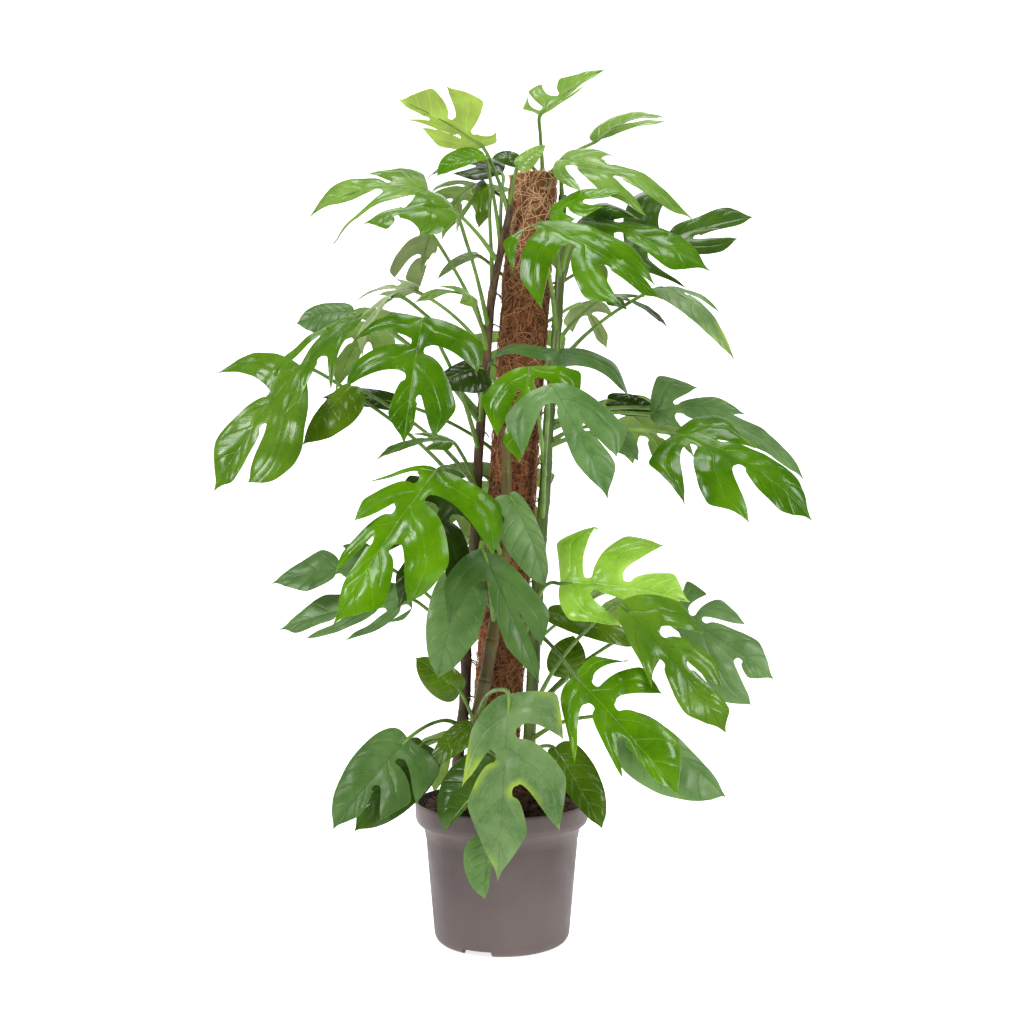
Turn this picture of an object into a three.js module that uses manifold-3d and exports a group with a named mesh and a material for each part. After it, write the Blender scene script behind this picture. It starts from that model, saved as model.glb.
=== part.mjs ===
// Mini monstera (a climbing aroid with split leaves) on a coir pole, in its nursery pot.
// Millimetres, +Z up. The origin is the middle of the pot's foot; -Y is the side that the plant faces.
import * as THREE from 'three';
import { mergeVertices } from 'three/addons/utils/BufferGeometryUtils.js';
import Module from 'manifold-3d';

const wasm = await Module();
wasm.setup();

// ---- driving dimensions -------------------------------------------------------------------------
const POT = {
  rimRadius: 95, rimTop: 152, rimBand: 18, wall: 2.6,
  shoulderRadius: 84.5, shoulderBottom: 119, stepDepth: 1.2, stepHeight: 6,
  footRadius: 73.5, footRound: 11, floor: 3, standRing: 64, padRadius: 22, recess: 4,
  notches: 6, notchWidth: 26, notchHeight: 6, sides: 32,
};
const SOIL = { edge: 143, crown: 182, gap: 0.4, bottom: 7.5, holeGap: 0.4, sides: 16 };
const POLE = { radius: 27, bottom: 40, top: 836, footX: -10, footZ: 175, lean: 0.068, sides: 14 };
const VINE_SIDES = 8;
const GAP = 0.3;
const BLADE_THICKNESS = 0.9;
const STALK_RADIUS = 2.3;
const STALK_SIDES = 4;
const UP = new THREE.Vector3(0, 0, 1);

// Colours from the real finishes: young, bright, mature, waxy blue-green, shaded and underside leaves.
const TONES = {
  pale: '#a9cf5c', bright: '#5d9f1e', mid: '#3f8526', blue: '#46744a', sage: '#64924f',
  dark: '#2d5c2c', olive: '#567b25', grey: '#7f9870',
};
const finish = (color, roughness) => new THREE.MeshStandardMaterial({ color, roughness, metalness: 0 });

// ---- closed solids --------------------------------------------------------------------------------
function solidOf(geometry) {
  const bare = geometry.index ? geometry.toNonIndexed() : geometry.clone();
  bare.deleteAttribute('normal');
  bare.deleteAttribute('uv');
  const merged = mergeVertices(bare, 1e-3);
  const vertProperties = new Float32Array(merged.getAttribute('position').array);
  const triVerts = new Uint32Array(merged.index.array);
  return new wasm.Manifold(new wasm.Mesh({ numProp: 3, vertProperties, triVerts }));
}

function geometryOf(solid) {
  const mesh = solid.getMesh();
  const geometry = new THREE.BufferGeometry();
  const flat = [];
  for (let v = 0; v < mesh.numVert; v += 1) {
    const at = v * mesh.numProp;
    flat.push(mesh.vertProperties[at], mesh.vertProperties[at + 1], mesh.vertProperties[at + 2]);
  }
  geometry.setAttribute('position', new THREE.Float32BufferAttribute(flat, 3));
  geometry.setIndex(Array.from(mesh.triVerts));
  return geometry;
}

// A round bar along a curve. radiusAt gives its radius from 0, the start, to 1, the end.
function bar(curve, radiusAt, sides, steps) {
  const points = [];
  const frames = curve.computeFrenetFrames(steps, false);
  for (let i = 0; i <= steps; i += 1) {
    const middle = curve.getPointAt(i / steps);
    for (let s = 0; s < sides; s += 1) {
      const turn = (2 * Math.PI * s) / sides;
      const out = frames.normals[i].clone().multiplyScalar(Math.cos(turn));
      out.addScaledVector(frames.binormals[i], Math.sin(turn));
      points.push(middle.clone().addScaledVector(out, radiusAt(i / steps)));
    }
  }
  const faces = [];
  for (let i = 0; i < steps; i += 1) {
    for (let s = 0; s < sides; s += 1) {
      const a = i * sides + s;
      const b = i * sides + ((s + 1) % sides);
      faces.push(a, b, b + sides, a, b + sides, a + sides);
    }
  }
  const last = steps * sides;
  for (let s = 1; s < sides - 1; s += 1) {
    faces.push(0, s + 1, s);
    faces.push(last, last + s, last + s + 1);
  }
  const geometry = new THREE.BufferGeometry().setFromPoints(points);
  geometry.setIndex(faces);
  return geometry;
}

// ---- pot ------------------------------------------------------------------------------------------
function potSolid() {
  const outline = new THREE.Path();
  const wallFoot = POT.footRadius - POT.wall;
  const bandBottom = POT.rimTop - POT.rimBand;
  const stepBottom = POT.shoulderBottom - POT.stepHeight;
  outline.moveTo(0, 0);
  outline.lineTo(POT.padRadius, 0);
  outline.lineTo(POT.padRadius + POT.recess, POT.recess);
  outline.lineTo(POT.standRing - POT.recess, POT.recess);
  outline.lineTo(POT.standRing - 1, 0);
  outline.lineTo(POT.footRadius - POT.footRound, 0);
  outline.quadraticCurveTo(POT.footRadius, 0, POT.footRadius + 0.6, POT.footRound);
  outline.lineTo(POT.shoulderRadius - POT.stepDepth, stepBottom);
  outline.lineTo(POT.shoulderRadius, POT.shoulderBottom);
  outline.bezierCurveTo(
    POT.shoulderRadius + 1, bandBottom - 6, POT.rimRadius - 1.5, bandBottom - 6, POT.rimRadius - 1, bandBottom,
  );
  outline.lineTo(POT.rimRadius, POT.rimTop - 1.2);
  outline.lineTo(POT.rimRadius - 1.2, POT.rimTop);
  outline.lineTo(POT.rimRadius - POT.wall, POT.rimTop);
  outline.lineTo(POT.rimRadius - POT.wall - 1, bandBottom);
  outline.lineTo(POT.shoulderRadius - POT.wall, POT.shoulderBottom);
  outline.lineTo(wallFoot, POT.recess + POT.floor + 4);
  outline.lineTo(wallFoot - 4, POT.recess + POT.floor);
  outline.lineTo(0, POT.recess + POT.floor);
  const turned = new THREE.LatheGeometry(outline.getPoints(3), POT.sides);
  turned.rotateX(Math.PI / 2);
  let pot = solidOf(turned);
  for (let n = 0; n < POT.notches; n += 1) {
    const depth = POT.footRadius - POT.standRing + 16;
    const notch = new THREE.BoxGeometry(depth, POT.notchWidth, POT.notchHeight);
    notch.translate(POT.footRadius - depth / 2 + 8, 0, POT.notchHeight / 2 - 2.5);
    notch.rotateZ((2 * Math.PI * (n + 0.5)) / POT.notches - 2.48);
    pot = pot.subtract(solidOf(notch));
  }
  return pot;
}

// ---- coir pole --------------------------------------------------------------------------------------
const poleX = (z) => POLE.footX + (z - POLE.footZ) * POLE.lean;

function poleGeometry(grow) {
  const rise = POLE.top - POLE.bottom;
  const profile = [new THREE.Vector2(0, 0)];
  const turns = 9;
  for (let i = 0; i <= turns; i += 1) {
    const swell = 0.9 * Math.sin(i * 2.3);
    profile.push(new THREE.Vector2(POLE.radius + swell + grow, (rise * i) / turns));
  }
  profile.push(new THREE.Vector2(POLE.radius * 0.6, rise + 5 + grow));
  profile.push(new THREE.Vector2(0, rise + 3 + grow));
  const pole = new THREE.LatheGeometry(profile, POLE.sides);
  pole.rotateX(Math.PI / 2);
  pole.applyMatrix4(new THREE.Matrix4().makeShear(0, 0, 0, 0, POLE.lean, 0));
  pole.translate(poleX(POLE.bottom), 0, POLE.bottom);
  return pole;
}

// ---- vines ------------------------------------------------------------------------------------------
// Each stem climbs beside the pole: [height, how far right of the pole's middle, depth], from its root up.
const VINES = {
  right: {
    radius: 7.2, color: '#4f7350',
    points: [[95, 38, -22], [175, 37, -25], [260, 36, -26], [345, 35, -27], [430, 34, -28], [500, 35, -27],
      [560, 34, -27], [640, 36, -18], [720, 36, -6], [780, 34, -4], [815, 33, -2]],
  },
  left: {
    radius: 6.2, color: '#4c3a2c',
    points: [[95, -36, 4], [175, -40, 2], [270, -37, 8], [360, -41, 2], [450, -38, -6], [540, -40, -2],
      [630, -38, -8], [700, -37, -12], [750, -30, -24], [798, -22, -33]],
  },
  low: {
    radius: 7.6, color: '#5f7d3c',
    points: [[95, -18, -40], [170, -20, -42], [235, -22, -38], [300, -14, -38], [365, -8, -37], [440, -4, -38],
      [515, -8, -36], [560, -12, -36]],
  },
  back: {
    radius: 6.6, color: '#55703f',
    points: [[95, 6, 38], [175, 4, 41], [280, -6, 38], [390, 4, 40], [500, 8, 37], [610, -4, 40],
      [720, 2, 37], [810, 8, 38], [850, 12, 34]],
  },
};
for (const vine of Object.values(VINES)) {
  const places = vine.points.map(([z, across, depth]) => new THREE.Vector3(poleX(z) + across, depth, z));
  vine.curve = new THREE.CatmullRomCurve3(places);
  vine.foot = places[0].z;
  vine.head = places[places.length - 1].z;
  vine.steps = Math.round((vine.head - vine.foot) / 40);
}

function vineGeometry(vine, grow) {
  const taper = (t) => vine.radius * (1 - 0.35 * t * t) + grow;
  return bar(vine.curve, taper, VINE_SIDES, vine.steps);
}

function vinePoint(vine, height) {
  const reach = THREE.MathUtils.clamp((height - vine.foot) / (vine.head - vine.foot), 0.02, 0.985);
  return vine.curve.getPointAt(reach);
}

// ---- leaf blade -------------------------------------------------------------------------------------
// Along the midrib, 0 is the stalk and 1 the tip, and widths are shares of the same length. One side of a leaf
// is its width where it is whole, or else a list of its lobes: [along, out] of its point, then maybe where its
// split ends, [along, out] of its shoulder, and how full its edge is past that. A last pair after such lobes is
// the end lobe's widest place.
const SPLIT_END = 0.055;
const SPLIT_HALF = 0.032;

const wobble = (seed, draw) => {
  const wave = Math.sin(seed * 12.9898 + draw * 78.233) * 43758.5453;
  return 2 * (wave - Math.floor(wave)) - 1;
};

const bezier = (a, b, c, d, t) => {
  const s = 1 - t;
  const shares = [s * s * s, 3 * s * s * t, 3 * s * t * t, t * t * t];
  return [0, 1].map((k) => shares[0] * a[k] + shares[1] * b[k] + shares[2] * c[k] + shares[3] * d[k]);
};

// A curve from a to its shoulder s, and then on to d: straight where full is 0, hollow where it is less.
function throughShoulder(a, s, d, t, full = 0) {
  if (t <= 0.6) {
    const early = [a[0] + 0.15 * (s[0] - a[0]) - 0.03, a[1] + 0.45 * (s[1] - a[1])];
    const late = [early[0] + 0.6 * (s[0] - early[0]), early[1] + 0.6 * (s[1] - early[1])];
    return bezier(a, early, late, s, t / 0.6);
  }
  const swell = [full * (s[0] - a[0]), full * (s[1] - a[1])];
  const third = (share) => [0, 1].map((k) => s[k] + share * (d[k] - s[k]) + swell[k]);
  return bezier(s, third(1 / 3), third(2 / 3), d, (t - 0.6) / 0.4);
}

// The lobes on one side of the midrib, flat. Each has its band beside the midrib, then its two edges out to its
// point. A split ends round, SPLIT_HALF to each side of its innermost place.
function lobesOf(side) {
  if (!Array.isArray(side)) {
    return [{
      band: [], last: true,
      near: (t) => bezier([0, 0], [-0.18, 0.95 * side], [0.76, 0.9 * side], [1, 0], t),
      far: (t) => [t, 0],
    }];
  }
  const points = side.filter((lobe, k) => k === 0 || lobe.length > 2 || k < side.length - 1);
  const lobes = [];
  let from = 0;
  points.forEach((lobe, k) => {
    const [along, out, split = 0.7 * along, high = along - 0.28, wide = 1.1 * out, full = 0] = lobe;
    const tip = [along, out];
    const near = k ? [from + SPLIT_HALF, SPLIT_END + 0.02] : [0, 0];
    const far = [split - SPLIT_HALF, SPLIT_END + 0.02];
    lobes.push({
      band: [[from, 0], [split, 0], [split, SPLIT_END], far, near, ...(k ? [[from, SPLIT_END]] : [])],
      near: (t) => throughShoulder(near, [high, wide], tip, t, full),
      far: (t) => bezier(far, [split - 0.09, 0.34 * out], [along - 0.06, 0.74 * out], tip, t),
    });
    from = split;
  });
  const inner = from;
  const end = side.length > points.length ? side[side.length - 1] : [0.8, 0.12];
  const near = [inner + SPLIT_HALF, SPLIT_END + 0.01];
  lobes.push({
    band: [[inner, 0], [inner + SPLIT_HALF, 0], near, [inner, SPLIT_END]], last: true,
    near: (t) => throughShoulder(near, end, [1, 0], t),
    far: (t) => [inner + SPLIT_HALF + (1 - inner - SPLIT_HALF) * t, 0],
  });
  return lobes;
}

const LOBE_ROWS = [0.3, 0.6, 0.84];
const SMALL_LOBE_ROWS = [0.34, 0.6];
const PLAIN_ROWS = [0.15, 0.45, 0.78];
const SMALL_LEAF = 150;

// One leaf's blade, bent in space. Both faces use the same triangles, and a narrow edge joins them.
function bladeSolid(leaf) {
  const base = new THREE.Vector3(...leaf.base);
  const chord = new THREE.Vector3(...leaf.tip).sub(base);
  const size = chord.length();
  const along = chord.clone().divideScalar(size);
  const face = new THREE.Vector3(...leaf.face);
  face.addScaledVector(along, -face.dot(along)).normalize();
  const across = new THREE.Vector3().crossVectors(face, along);
  const seed = leaf.base[0] + 2 * leaf.base[2];

  const place = (u, v, lift) => {
    const side = Math.abs(v);
    const arch = 4 * leaf.arch * u * (1 - u);
    const fold = leaf.fold * side - leaf.droop * side * side + lift;
    const point = base.clone().addScaledVector(along, size * u);
    point.addScaledVector(across, size * v * (1 - 0.25 * side * leaf.droop));
    return point.addScaledVector(face, size * (arch + fold));
  };

  // Both sides meet along the midrib, so each takes in the points that the other has there.
  const sides = [lobesOf(leaf.left), lobesOf(leaf.right)];
  const lobeRows = size < SMALL_LEAF ? SMALL_LOBE_ROWS : LOBE_ROWS;
  const rowsOf = (lobes) => (lobes.length > 1 ? lobeRows : PLAIN_ROWS);
  const rib = new Set();
  sides.forEach((lobes) => lobes.forEach((lobe) => {
    lobe.band.forEach(([u, v]) => v === 0 && rib.add(u));
    if (lobe.last) rowsOf(lobes).concat(1).forEach((t) => rib.add(lobe.far(t)[0]));
  }));
  const ribPlaces = [...rib].sort((a, b) => a - b);

  const points = [];
  const faces = [];
  const known = new Map();
  const at = ([u, v], lift) => {
    const key = `${u.toFixed(4)},${v.toFixed(4)}`;
    if (!known.has(key)) {
      known.set(key, points.length);
      points.push(place(u, v, lift));
    }
    return known.get(key);
  };
  // A patch is a ring of flat places; the midrib's points are put in where it runs along it.
  const patch = (ring, side, liftOf) => {
    const full = [];
    ring.forEach((here, i) => {
      const next = ring[(i + 1) % ring.length];
      full.push(here);
      if (here[1] === 0 && next[1] === 0) {
        const low = Math.min(here[0], next[0]);
        const high = Math.max(here[0], next[0]);
        const between = ribPlaces.filter((u) => u > low + 1e-6 && u < high - 1e-6);
        if (here[0] > next[0]) between.reverse();
        between.forEach((u) => full.push([u, 0]));
      }
    });
    const ids = full.map((p) => at([p[0], side * p[1]], liftOf(p)));
    const ring3 = ids.filter((p, i) => ids.indexOf(p) === i);
    if (ring3.length < 3) return;
    const off = full.findIndex((p) => p[1] !== 0);
    const first = ring3.indexOf(ids[off]);
    for (let i = 1; i < ring3.length - 1; i += 1) {
      const corners = [0, i, i + 1].map((step) => ring3[(first + step) % ring3.length]);
      faces.push(side > 0 ? corners : corners.reverse());
    }
  };
  [1, -1].forEach((side, half) => {
    sides[half].forEach((lobe, k) => {
      const raise = lobe.last ? 0 : 0.09 * wobble(seed, 7 * half + k);
      if (lobe.band.length) patch(lobe.band, side, () => 0);
      let t = 0;
      rowsOf(sides[half]).concat(1).forEach((next) => {
        const low = t;
        const inner = [lobe.near(low), lobe.far(low)];
        const outer = [lobe.far(next), lobe.near(next)];
        patch([...inner, ...outer], side, (p) => raise * (inner.includes(p) ? low : next) ** 2);
        t = next;
      });
    });
  });

  // Two skins, half the thickness to each side along each point's own normal.
  const normals = points.map(() => new THREE.Vector3());
  const cross = new THREE.Vector3();
  faces.forEach(([a, b, c]) => {
    const ab = points[b].clone().sub(points[a]);
    cross.crossVectors(ab, points[c].clone().sub(points[a]));
    [a, b, c].forEach((p) => normals[p].add(cross));
  });
  const skin = (sign) => points.map((p, i) => (
    p.clone().addScaledVector(normals[i].clone().normalize(), (sign * BLADE_THICKNESS) / 2)));
  const count = points.length;
  const index = [];
  const edges = new Map();
  faces.forEach(([a, b, c]) => {
    index.push(a, b, c, c + count, b + count, a + count);
    [[a, b], [b, c], [c, a]].forEach(([p, q]) => edges.set(`${p},${q}`, [p, q]));
  });
  edges.forEach(([p, q]) => {
    if (!edges.has(`${q},${p}`)) {
      index.push(p, p + count, q + count, p, q + count, q);
    }
  });
  const geometry = new THREE.BufferGeometry().setFromPoints([...skin(1), ...skin(-1)]);
  geometry.setIndex(index);
  return { solid: solidOf(geometry), place, face, along, size };
}

// A leaf with its stalk, which leaves the stem at a slant and ends under the blade's midrib.
function leafSolid(leaf) {
  const blade = bladeSolid(leaf);
  const vine = VINES[leaf.stem];
  const base = new THREE.Vector3(...leaf.base);
  const sideways = Math.hypot(base.x - poleX(base.z), base.y);
  const from = Math.max(leaf.from ?? base.z - 0.62 * sideways, SOIL.crown + 14);
  const start = vinePoint(vine, from);
  const reach = start.distanceTo(base);
  const under = (u) => blade.place(u, 0, 0).addScaledVector(blade.face, -0.75 * STALK_RADIUS);
  const bend = (share, rise) => start.clone().lerp(base, share).addScaledVector(UP, rise * reach);
  const route = new THREE.CatmullRomCurve3([
    start, bend(0.3, leaf.bow ?? 0.07), bend(0.65, (leaf.bow ?? 0.07) * 0.9), under(0.01), under(0.14)]);
  const stalk = solidOf(bar(route, (t) => STALK_RADIUS * (1.25 - 0.5 * t), STALK_SIDES, 4));
  if (leaf.grown) return blade.solid.add(stalk);
  return blade.solid.add(stalk.subtract(solidOf(vineGeometry(vine, GAP))));
}

// ---- leaves -----------------------------------------------------------------------------------------
// name, stem, tone, where the stalk meets the blade, the tip, where the upper face looks, the midrib's arch,
// the left and right sides as seen from above with the tip pointing away, and then any other bends.
const LEAVES = [
  ['crown_left_young', 'left', 'pale', [-20, -20, 864], [-108, -50, 906], [0.25, 0.75, 0.45], 0.08,
    [[-0.02, 0.22, 0.16, -0.1, 0.12], [0.65, 0.38, 0.44, 0.24, 0.45], [0.77, 0.27]],
    [[0.65, 0.18, 0.27, 0.39, 0.29], [0.86, 0.19, 0.65, 0.77, 0.16], [0.92, 0.05]],
    { droop: 0.4, from: 790 }],
  ['crown_low', 'left', 'bright', [-18, -30, 852], [-68, -55, 826], [-0.1, -0.8, 0.5], 0.1,
    0.26, 0.49, { from: 750 }],
  ['crown_inner', 'left', 'bright', [16, -40, 838], [46, -44, 860], [0, -0.8, 0.5], 0.06,
    0.32, 0.58, { from: 782 }],
  ['left_low_upper', 'left', 'dark', [-128, -30, 412], [-248, -26, 392], [-0.1, -0.8, 0.5], 0.05,
    [[0.37, 0.32, 0.39, 0.19, 0.3], [0.69, 0.19]], [[0.34, 0.21, 0.35, 0.15, 0.26], [0.54, 0.24]]],
  ['left_inner_dark', 'left', 'dark', [-20, -80, 618], [-66, -110, 598], [-0.1, -0.85, 0.4], 0.1,
    0.74, 0.33],
  ['upper_left_long', 'left', 'mid', [-78, -50, 810], [-200, -80, 778], [-0.1, -0.75, 0.6], 0.14,
    [[0.91, 0.43, 0.44, 0.64, 0.28], [0.71, 0.09]], [[0.46, 0.14, 0.32, -0.04, 0.39], [0.72, 0.18]],
    { from: 736 }],
  ['upper_left_front', 'left', 'mid', [-48, -95, 780], [-136, -140, 758], [-0.1, -0.75, 0.6], 0.08,
    [[0.57, 0.38, 0.69, 0.33, 0.39], [0.87, 0.24]], [[0.35, 0.32, 0.55, -0.01, 0.36], [0.79, 0.05]],
    { from: 664 }],
  ['upper_left_hanging', 'left', 'grey', [-78, -10, 772], [-92, 30, 722], [-0.3, 0.75, 0.5], 0.1,
    [[0.79, 0.58, 0.5, 0.57, 0.8], [0.9, 0.31]], [[0.39, 0.18, 0.65, 0.24, 0.19], [0.64, 0.1]],
    { from: 652 }],
  ['upper_left_inner', 'left', 'dark', [0, 55, 854], [-88, 95, 858], [-0.1, -0.5, 0.8], 0.15,
    [[0.46, 0.38]], [[0.46, 0.38]], { from: 742 }],
  ['upper_left_low', 'left', 'dark', [-16, 36, 832], [-54, 80, 788], [-0.2, -0.75, 0.6], 0.12,
    [[0.46, 0.45]], [[0.46, 0.45]], { from: 704 }],
  ['crown_right_long', 'right', 'mid', [62, -40, 846], [200, -72, 774], [0.2, -0.7, 0.6], 0.1,
    [[0.31, 0.23, 0.32, 0.11, 0.23], [0.6, 0.1]], [[0.33, 0.4, 0.13, 0.12, 0.32],
    [0.74, 0.2, 0.45, 0.44, 0.28], [0.83, 0.1]]],
  ['upper_right_fold', 'right', 'bright', [52, -85, 778], [124, -95, 798], [-0.3, -0.7, 0.6], 0.1,
    0.26, [[0.3, 0.4], [0.7, 0.36, 0.5]]],
  ['upper_right_front', 'right', 'bright', [38, -150, 756], [154, -195, 674], [0.1, -0.82, 0.55], 0.05,
    [[0.88, 0.12, 0.61, 0.61, 0.24], [0.83, 0.04]], [[0.13, 0.48, 0.02, -0.08, 0.31],
    [0.43, 0.57, 0.32, 0.19, 0.48], [0.86, 0.32, 0.6, 0.67, 0.41], [0.92, 0.08]]],
  ['upper_right_mid', 'right', 'mid', [84, -60, 778], [212, -110, 716], [0.1, -0.7, 0.65], 0.06,
    [[0.35, 0.23, 0.25, 0, 0.35], [0.74, 0.16]], [[0.63, 0.4, 0.35, 0.27, 0.32], [0.81, 0.22]]],
  ['right_edge_on', 'right', 'mid', [170, -20, 712], [244, -70, 630], [0.2, -0.8, 0.5], 0.16,
    [[0.61, 0.15, 0.27, 0.4, 0.15], [0.6, 0.06]], 0.26],
  ['right_under', 'right', 'dark', [114, -15, 704], [178, -35, 668], [0.1, -0.35, 0.9], 0.1,
    [[0.46, 0.38]], [[0.46, 0.38]]],
  ['far_left', 'left', 'mid', [-214, -60, 624], [-296, -95, 492], [-0.2, -0.85, 0.45], 0.03,
    [[0.87, 0.25, 0.5, 0.59, 0.47, 0.12], [0.91, 0.11]], [[0.29, 0.59, 0.28, 0.06, 0.36], [0.72, 0.19]],
    { droop: 0.4 }],
  ['left_edge_on', 'left', 'mid', [-144, -75, 676], [-220, -135, 562], [-0.3, -0.85, 0.4], 0.14,
    [[0.73, 0.28, 0.55, 0.43, 0.15], [0.83, 0.08]], [[0.82, 0.12, 0.33, 0.77, 0.17], [0.93, 0.04]],
    { droop: 0.5 }],
  ['left_shoulder', 'left', 'dark', [-162, -10, 686], [-222, -20, 674], [-0.1, -0.8, 0.5], 0.08,
    0.75, 0.39],
  ['left_shoulder_back', 'left', 'mid', [-94, 20, 714], [-166, 50, 708], [-0.1, -0.4, 0.9], 0.12,
    [[0.46, 0.34]], [[0.46, 0.34]]],
  ['left_grey_lobe', 'left', 'grey', [-106, -126, 688], [-138, -162, 624], [-0.65, -0.4, 0.55], 0.12,
    0.26, [[0.46, 0.3]], { droop: 0.5, from: 602 }],
  ['left_inner_top', 'left', 'mid', [-30, -70, 694], [-88, -106, 684], [-0.1, -0.6, 0.8], 0.12,
    [[0.46, 0.4]], [[0.46, 0.34]]],
  ['left_front', 'left', 'bright', [-76, -173, 658], [-92, -208, 534], [0, -0.87, 0.5], 0.06,
    [[0.37, 0.51, 0.28, 0.15, 0.54], [0.93, 0.22, 0.67, 0.69, 0.38], [0.88, 0.06]],
    [[0.22, 0.56, 0.22, 0.06, 0.41], [0.6, 0.55, 0.51, 0.43, 0.55], [0.81, 0.15]]],
  ['left_behind', 'left', 'olive', [-160, -50, 602], [-208, -70, 540], [-0.2, -0.85, 0.4], 0.05,
    0.58, 0.19, { from: 495 }],
  ['left_low_small', 'left', 'mid', [-52, -55, 544], [-130, -80, 524], [0, -0.4, 0.9], 0.1,
    [[0.46, 0.3]], [[0.46, 0.3]]],
  ['centre_arch', 'right', 'blue', [58, -80, 638], [62, -140, 560], [0, -0.85, 0.5], 0.1,
    [[0.5, 0.87, 0.38, 0.08, 0.72], [0.71, 0.08]], [[-0.17, 0.88, 0.3, -0.34, 0.53], [0.71, 0.06]],
    { droop: 0.7 }],
  ['centre_bright', 'right', 'bright', [28, -175, 610], [18, -200, 516], [0, -0.85, 0.5], 0.06,
    [[0.36, 0.58, 0.16, -0.06, 0.58], [0.81, 0.08]], [[0.75, 0.26, 0.3, 0.37, 0.5], [0.83, 0.19]]],
  ['centre_blue', 'right', 'blue', [48, -211, 590], [100, -241, 482], [0.1, -0.85, 0.5], 0.05,
    [[0.74, 0.2, 0.44, 0.55, 0.44], [0.8, 0.17]], [[0.44, 0.5, 0.19, 0.11, 0.49], [0.68, 0.14]]],
  ['centre_grey', 'low', 'blue', [8, -80, 486], [46, -95, 392], [0.15, -0.85, 0.5], 0.1,
    0.2, 0.45],
  ['left_low_front', 'left', 'bright', [-62, -170, 510], [-158, -215, 364], [-0.05, -0.85, 0.5], 0.04,
    [[0.24, 0.54, 0.18, -0.02, 0.42, 0.1], [0.71, 0.29, 0.51, 0.42, 0.38, 0.1], [0.8, 0.21]],
    [[0.27, 0.25, 0.11, 0.13, 0.17], [0.5, 0.18, 0.33, 0.36, 0.24], [0.76, 0.16, 0.54, 0.66, 0.18],
    [0.8, 0.07]], { from: 488 }],
  ['left_low_dark', 'low', 'dark', [-46, -95, 488], [-104, -125, 372], [0, -0.9, 0.35], 0.08,
    [[0.3, 0.42], [0.74, 0.34, 0.53]], [[0.3, 0.4], [0.74, 0.33, 0.53]], { droop: 0.5 }],
  ['hanging_blue', 'low', 'blue', [-20, -132, 432], [38, -162, 300], [0, -0.92, 0.35], 0.06,
    [[0.78, 0.11, 0.54, 0.59, 0.26], [0.86, 0.05]], [[0.42, 0.43, 0.26, 0.13, 0.34], [0.7, 0.12]],
    { droop: 0.4 }],
  ['hanging_companion', 'low', 'blue', [-40, -60, 404], [-66, -80, 296], [0, -0.9, 0.4], 0.06,
    0.43, 0.35, { droop: 0.5 }],
  ['left_low_back', 'left', 'dark', [-98, -30, 376], [-240, -20, 342], [-0.1, -0.75, 0.6], 0.05,
    [[0.17, 0.25, 0.05, 0.06, 0.22], [0.49, 0.33, 0.22, 0.3, 0.28], [0.78, 0.23, 0.54, 0.67, 0.23],
    [0.88, 0.1]], [[0.36, 0.2, 0.39, 0.16, 0.18], [0.63, 0.18]]],
  ['small_round', 'low', 'olive', [-44, -55, 278], [-90, -60, 314], [-0.1, -0.95, 0.3], 0.1,
    0.54, 0.41],
  ['right_front', 'right', 'bright', [180, -85, 550], [312, -130, 462], [0.1, -0.75, 0.6], 0.12,
    [[0.48, 0.14, 0.28, 0.14, 0.31, -0.05], [0.78, 0.16]], [[0.36, 0.53, 0.16, 0, 0.34, -0.06],
    [0.73, 0.35, 0.49, 0.47, 0.43, -0.06], [0.84, 0.16]], { from: 537 }],
  ['right_blue', 'right', 'blue', [160, -35, 574], [260, -40, 574], [0.05, -0.8, 0.5], 0.12,
    [[0.5, 0.28, 0.27, 0.09, 0.51], [0.68, 0.13]], [[0.34, 0.29, 0.3, 0.06, 0.19], [0.58, 0.22]],
    { from: 556, droop: 0.3 }],
  ['right_tip_behind', 'right', 'dark', [222, -5, 574], [326, -25, 506], [0.2, -0.6, 0.7], 0.1,
    0.2, 0.24, { from: 562 }],
  ['right_low_small', 'right', 'dark', [104, -30, 562], [144, -60, 524], [0.1, -0.8, 0.5], 0.1,
    0.4, 0.4, { from: 540 }],
  ['right_low_bright', 'right', 'bright', [60, -120, 396], [186, -150, 380], [0, -0.85, 0.5], 0.08,
    [[0.19, 0.58, 0.21, -0.12, 0.4], [0.73, 0.48, 0.52, 0.44, 0.53], [0.86, 0.2]],
    [[0.56, 0.35, 0.3, 0.14, 0.34], [0.6, 0.12]], { droop: 0.5, from: 374 }],
  ['right_low_glossy', 'right', 'mid', [116, -173, 380], [214, -208, 260], [0.1, -0.8, 0.55], 0.05,
    [[0.46, 0.31, 0.32, 0.22, 0.35], [0.79, 0.16, 0.57, 0.63, 0.25], [0.92, 0.11]],
    [[0.54, 0.24, 0.45, 0.24, 0.15, -0.05], [0.78, 0.17]]],
  ['right_low_shade', 'right', 'dark', [50, -58, 362], [146, -72, 328], [0, -0.85, 0.5], 0.06,
    0.22, 0.22, { from: 342 }],
  ['right_low_back', 'right', 'blue', [184, -60, 362], [282, -85, 296], [0.1, -0.85, 0.45], 0.05,
    [[0.14, 0.3, 0.12, -0.09, 0.34], [0.55, 0.28, 0.25, 0.25, 0.4], [0.73, 0.21]],
    [[0.97, 0.33, 0.68, 0.73, 0.48], [0.83, 0.16]], { from: 252 }],
  ['right_low_front', 'right', 'bright', [72, -190, 310], [168, -225, 202], [0.1, -0.85, 0.45], 0.04,
    [[0.14, 0.36, 0.12, -0.03, 0.19, -0.05], [0.44, 0.39, 0.33, 0.23, 0.42], [0.73, 0.25]],
    [[0.43, 0.43, 0.22, 0.06, 0.2], [0.7, 0.25, 0.52, 0.49, 0.19], [0.8, 0.07]],
    { droop: 0.5, from: 338, bow: 0.02 }],
  ['right_low_blue', 'right', 'blue', [132, -135, 262], [220, -165, 190], [0.1, -0.85, 0.45], 0.05,
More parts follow.
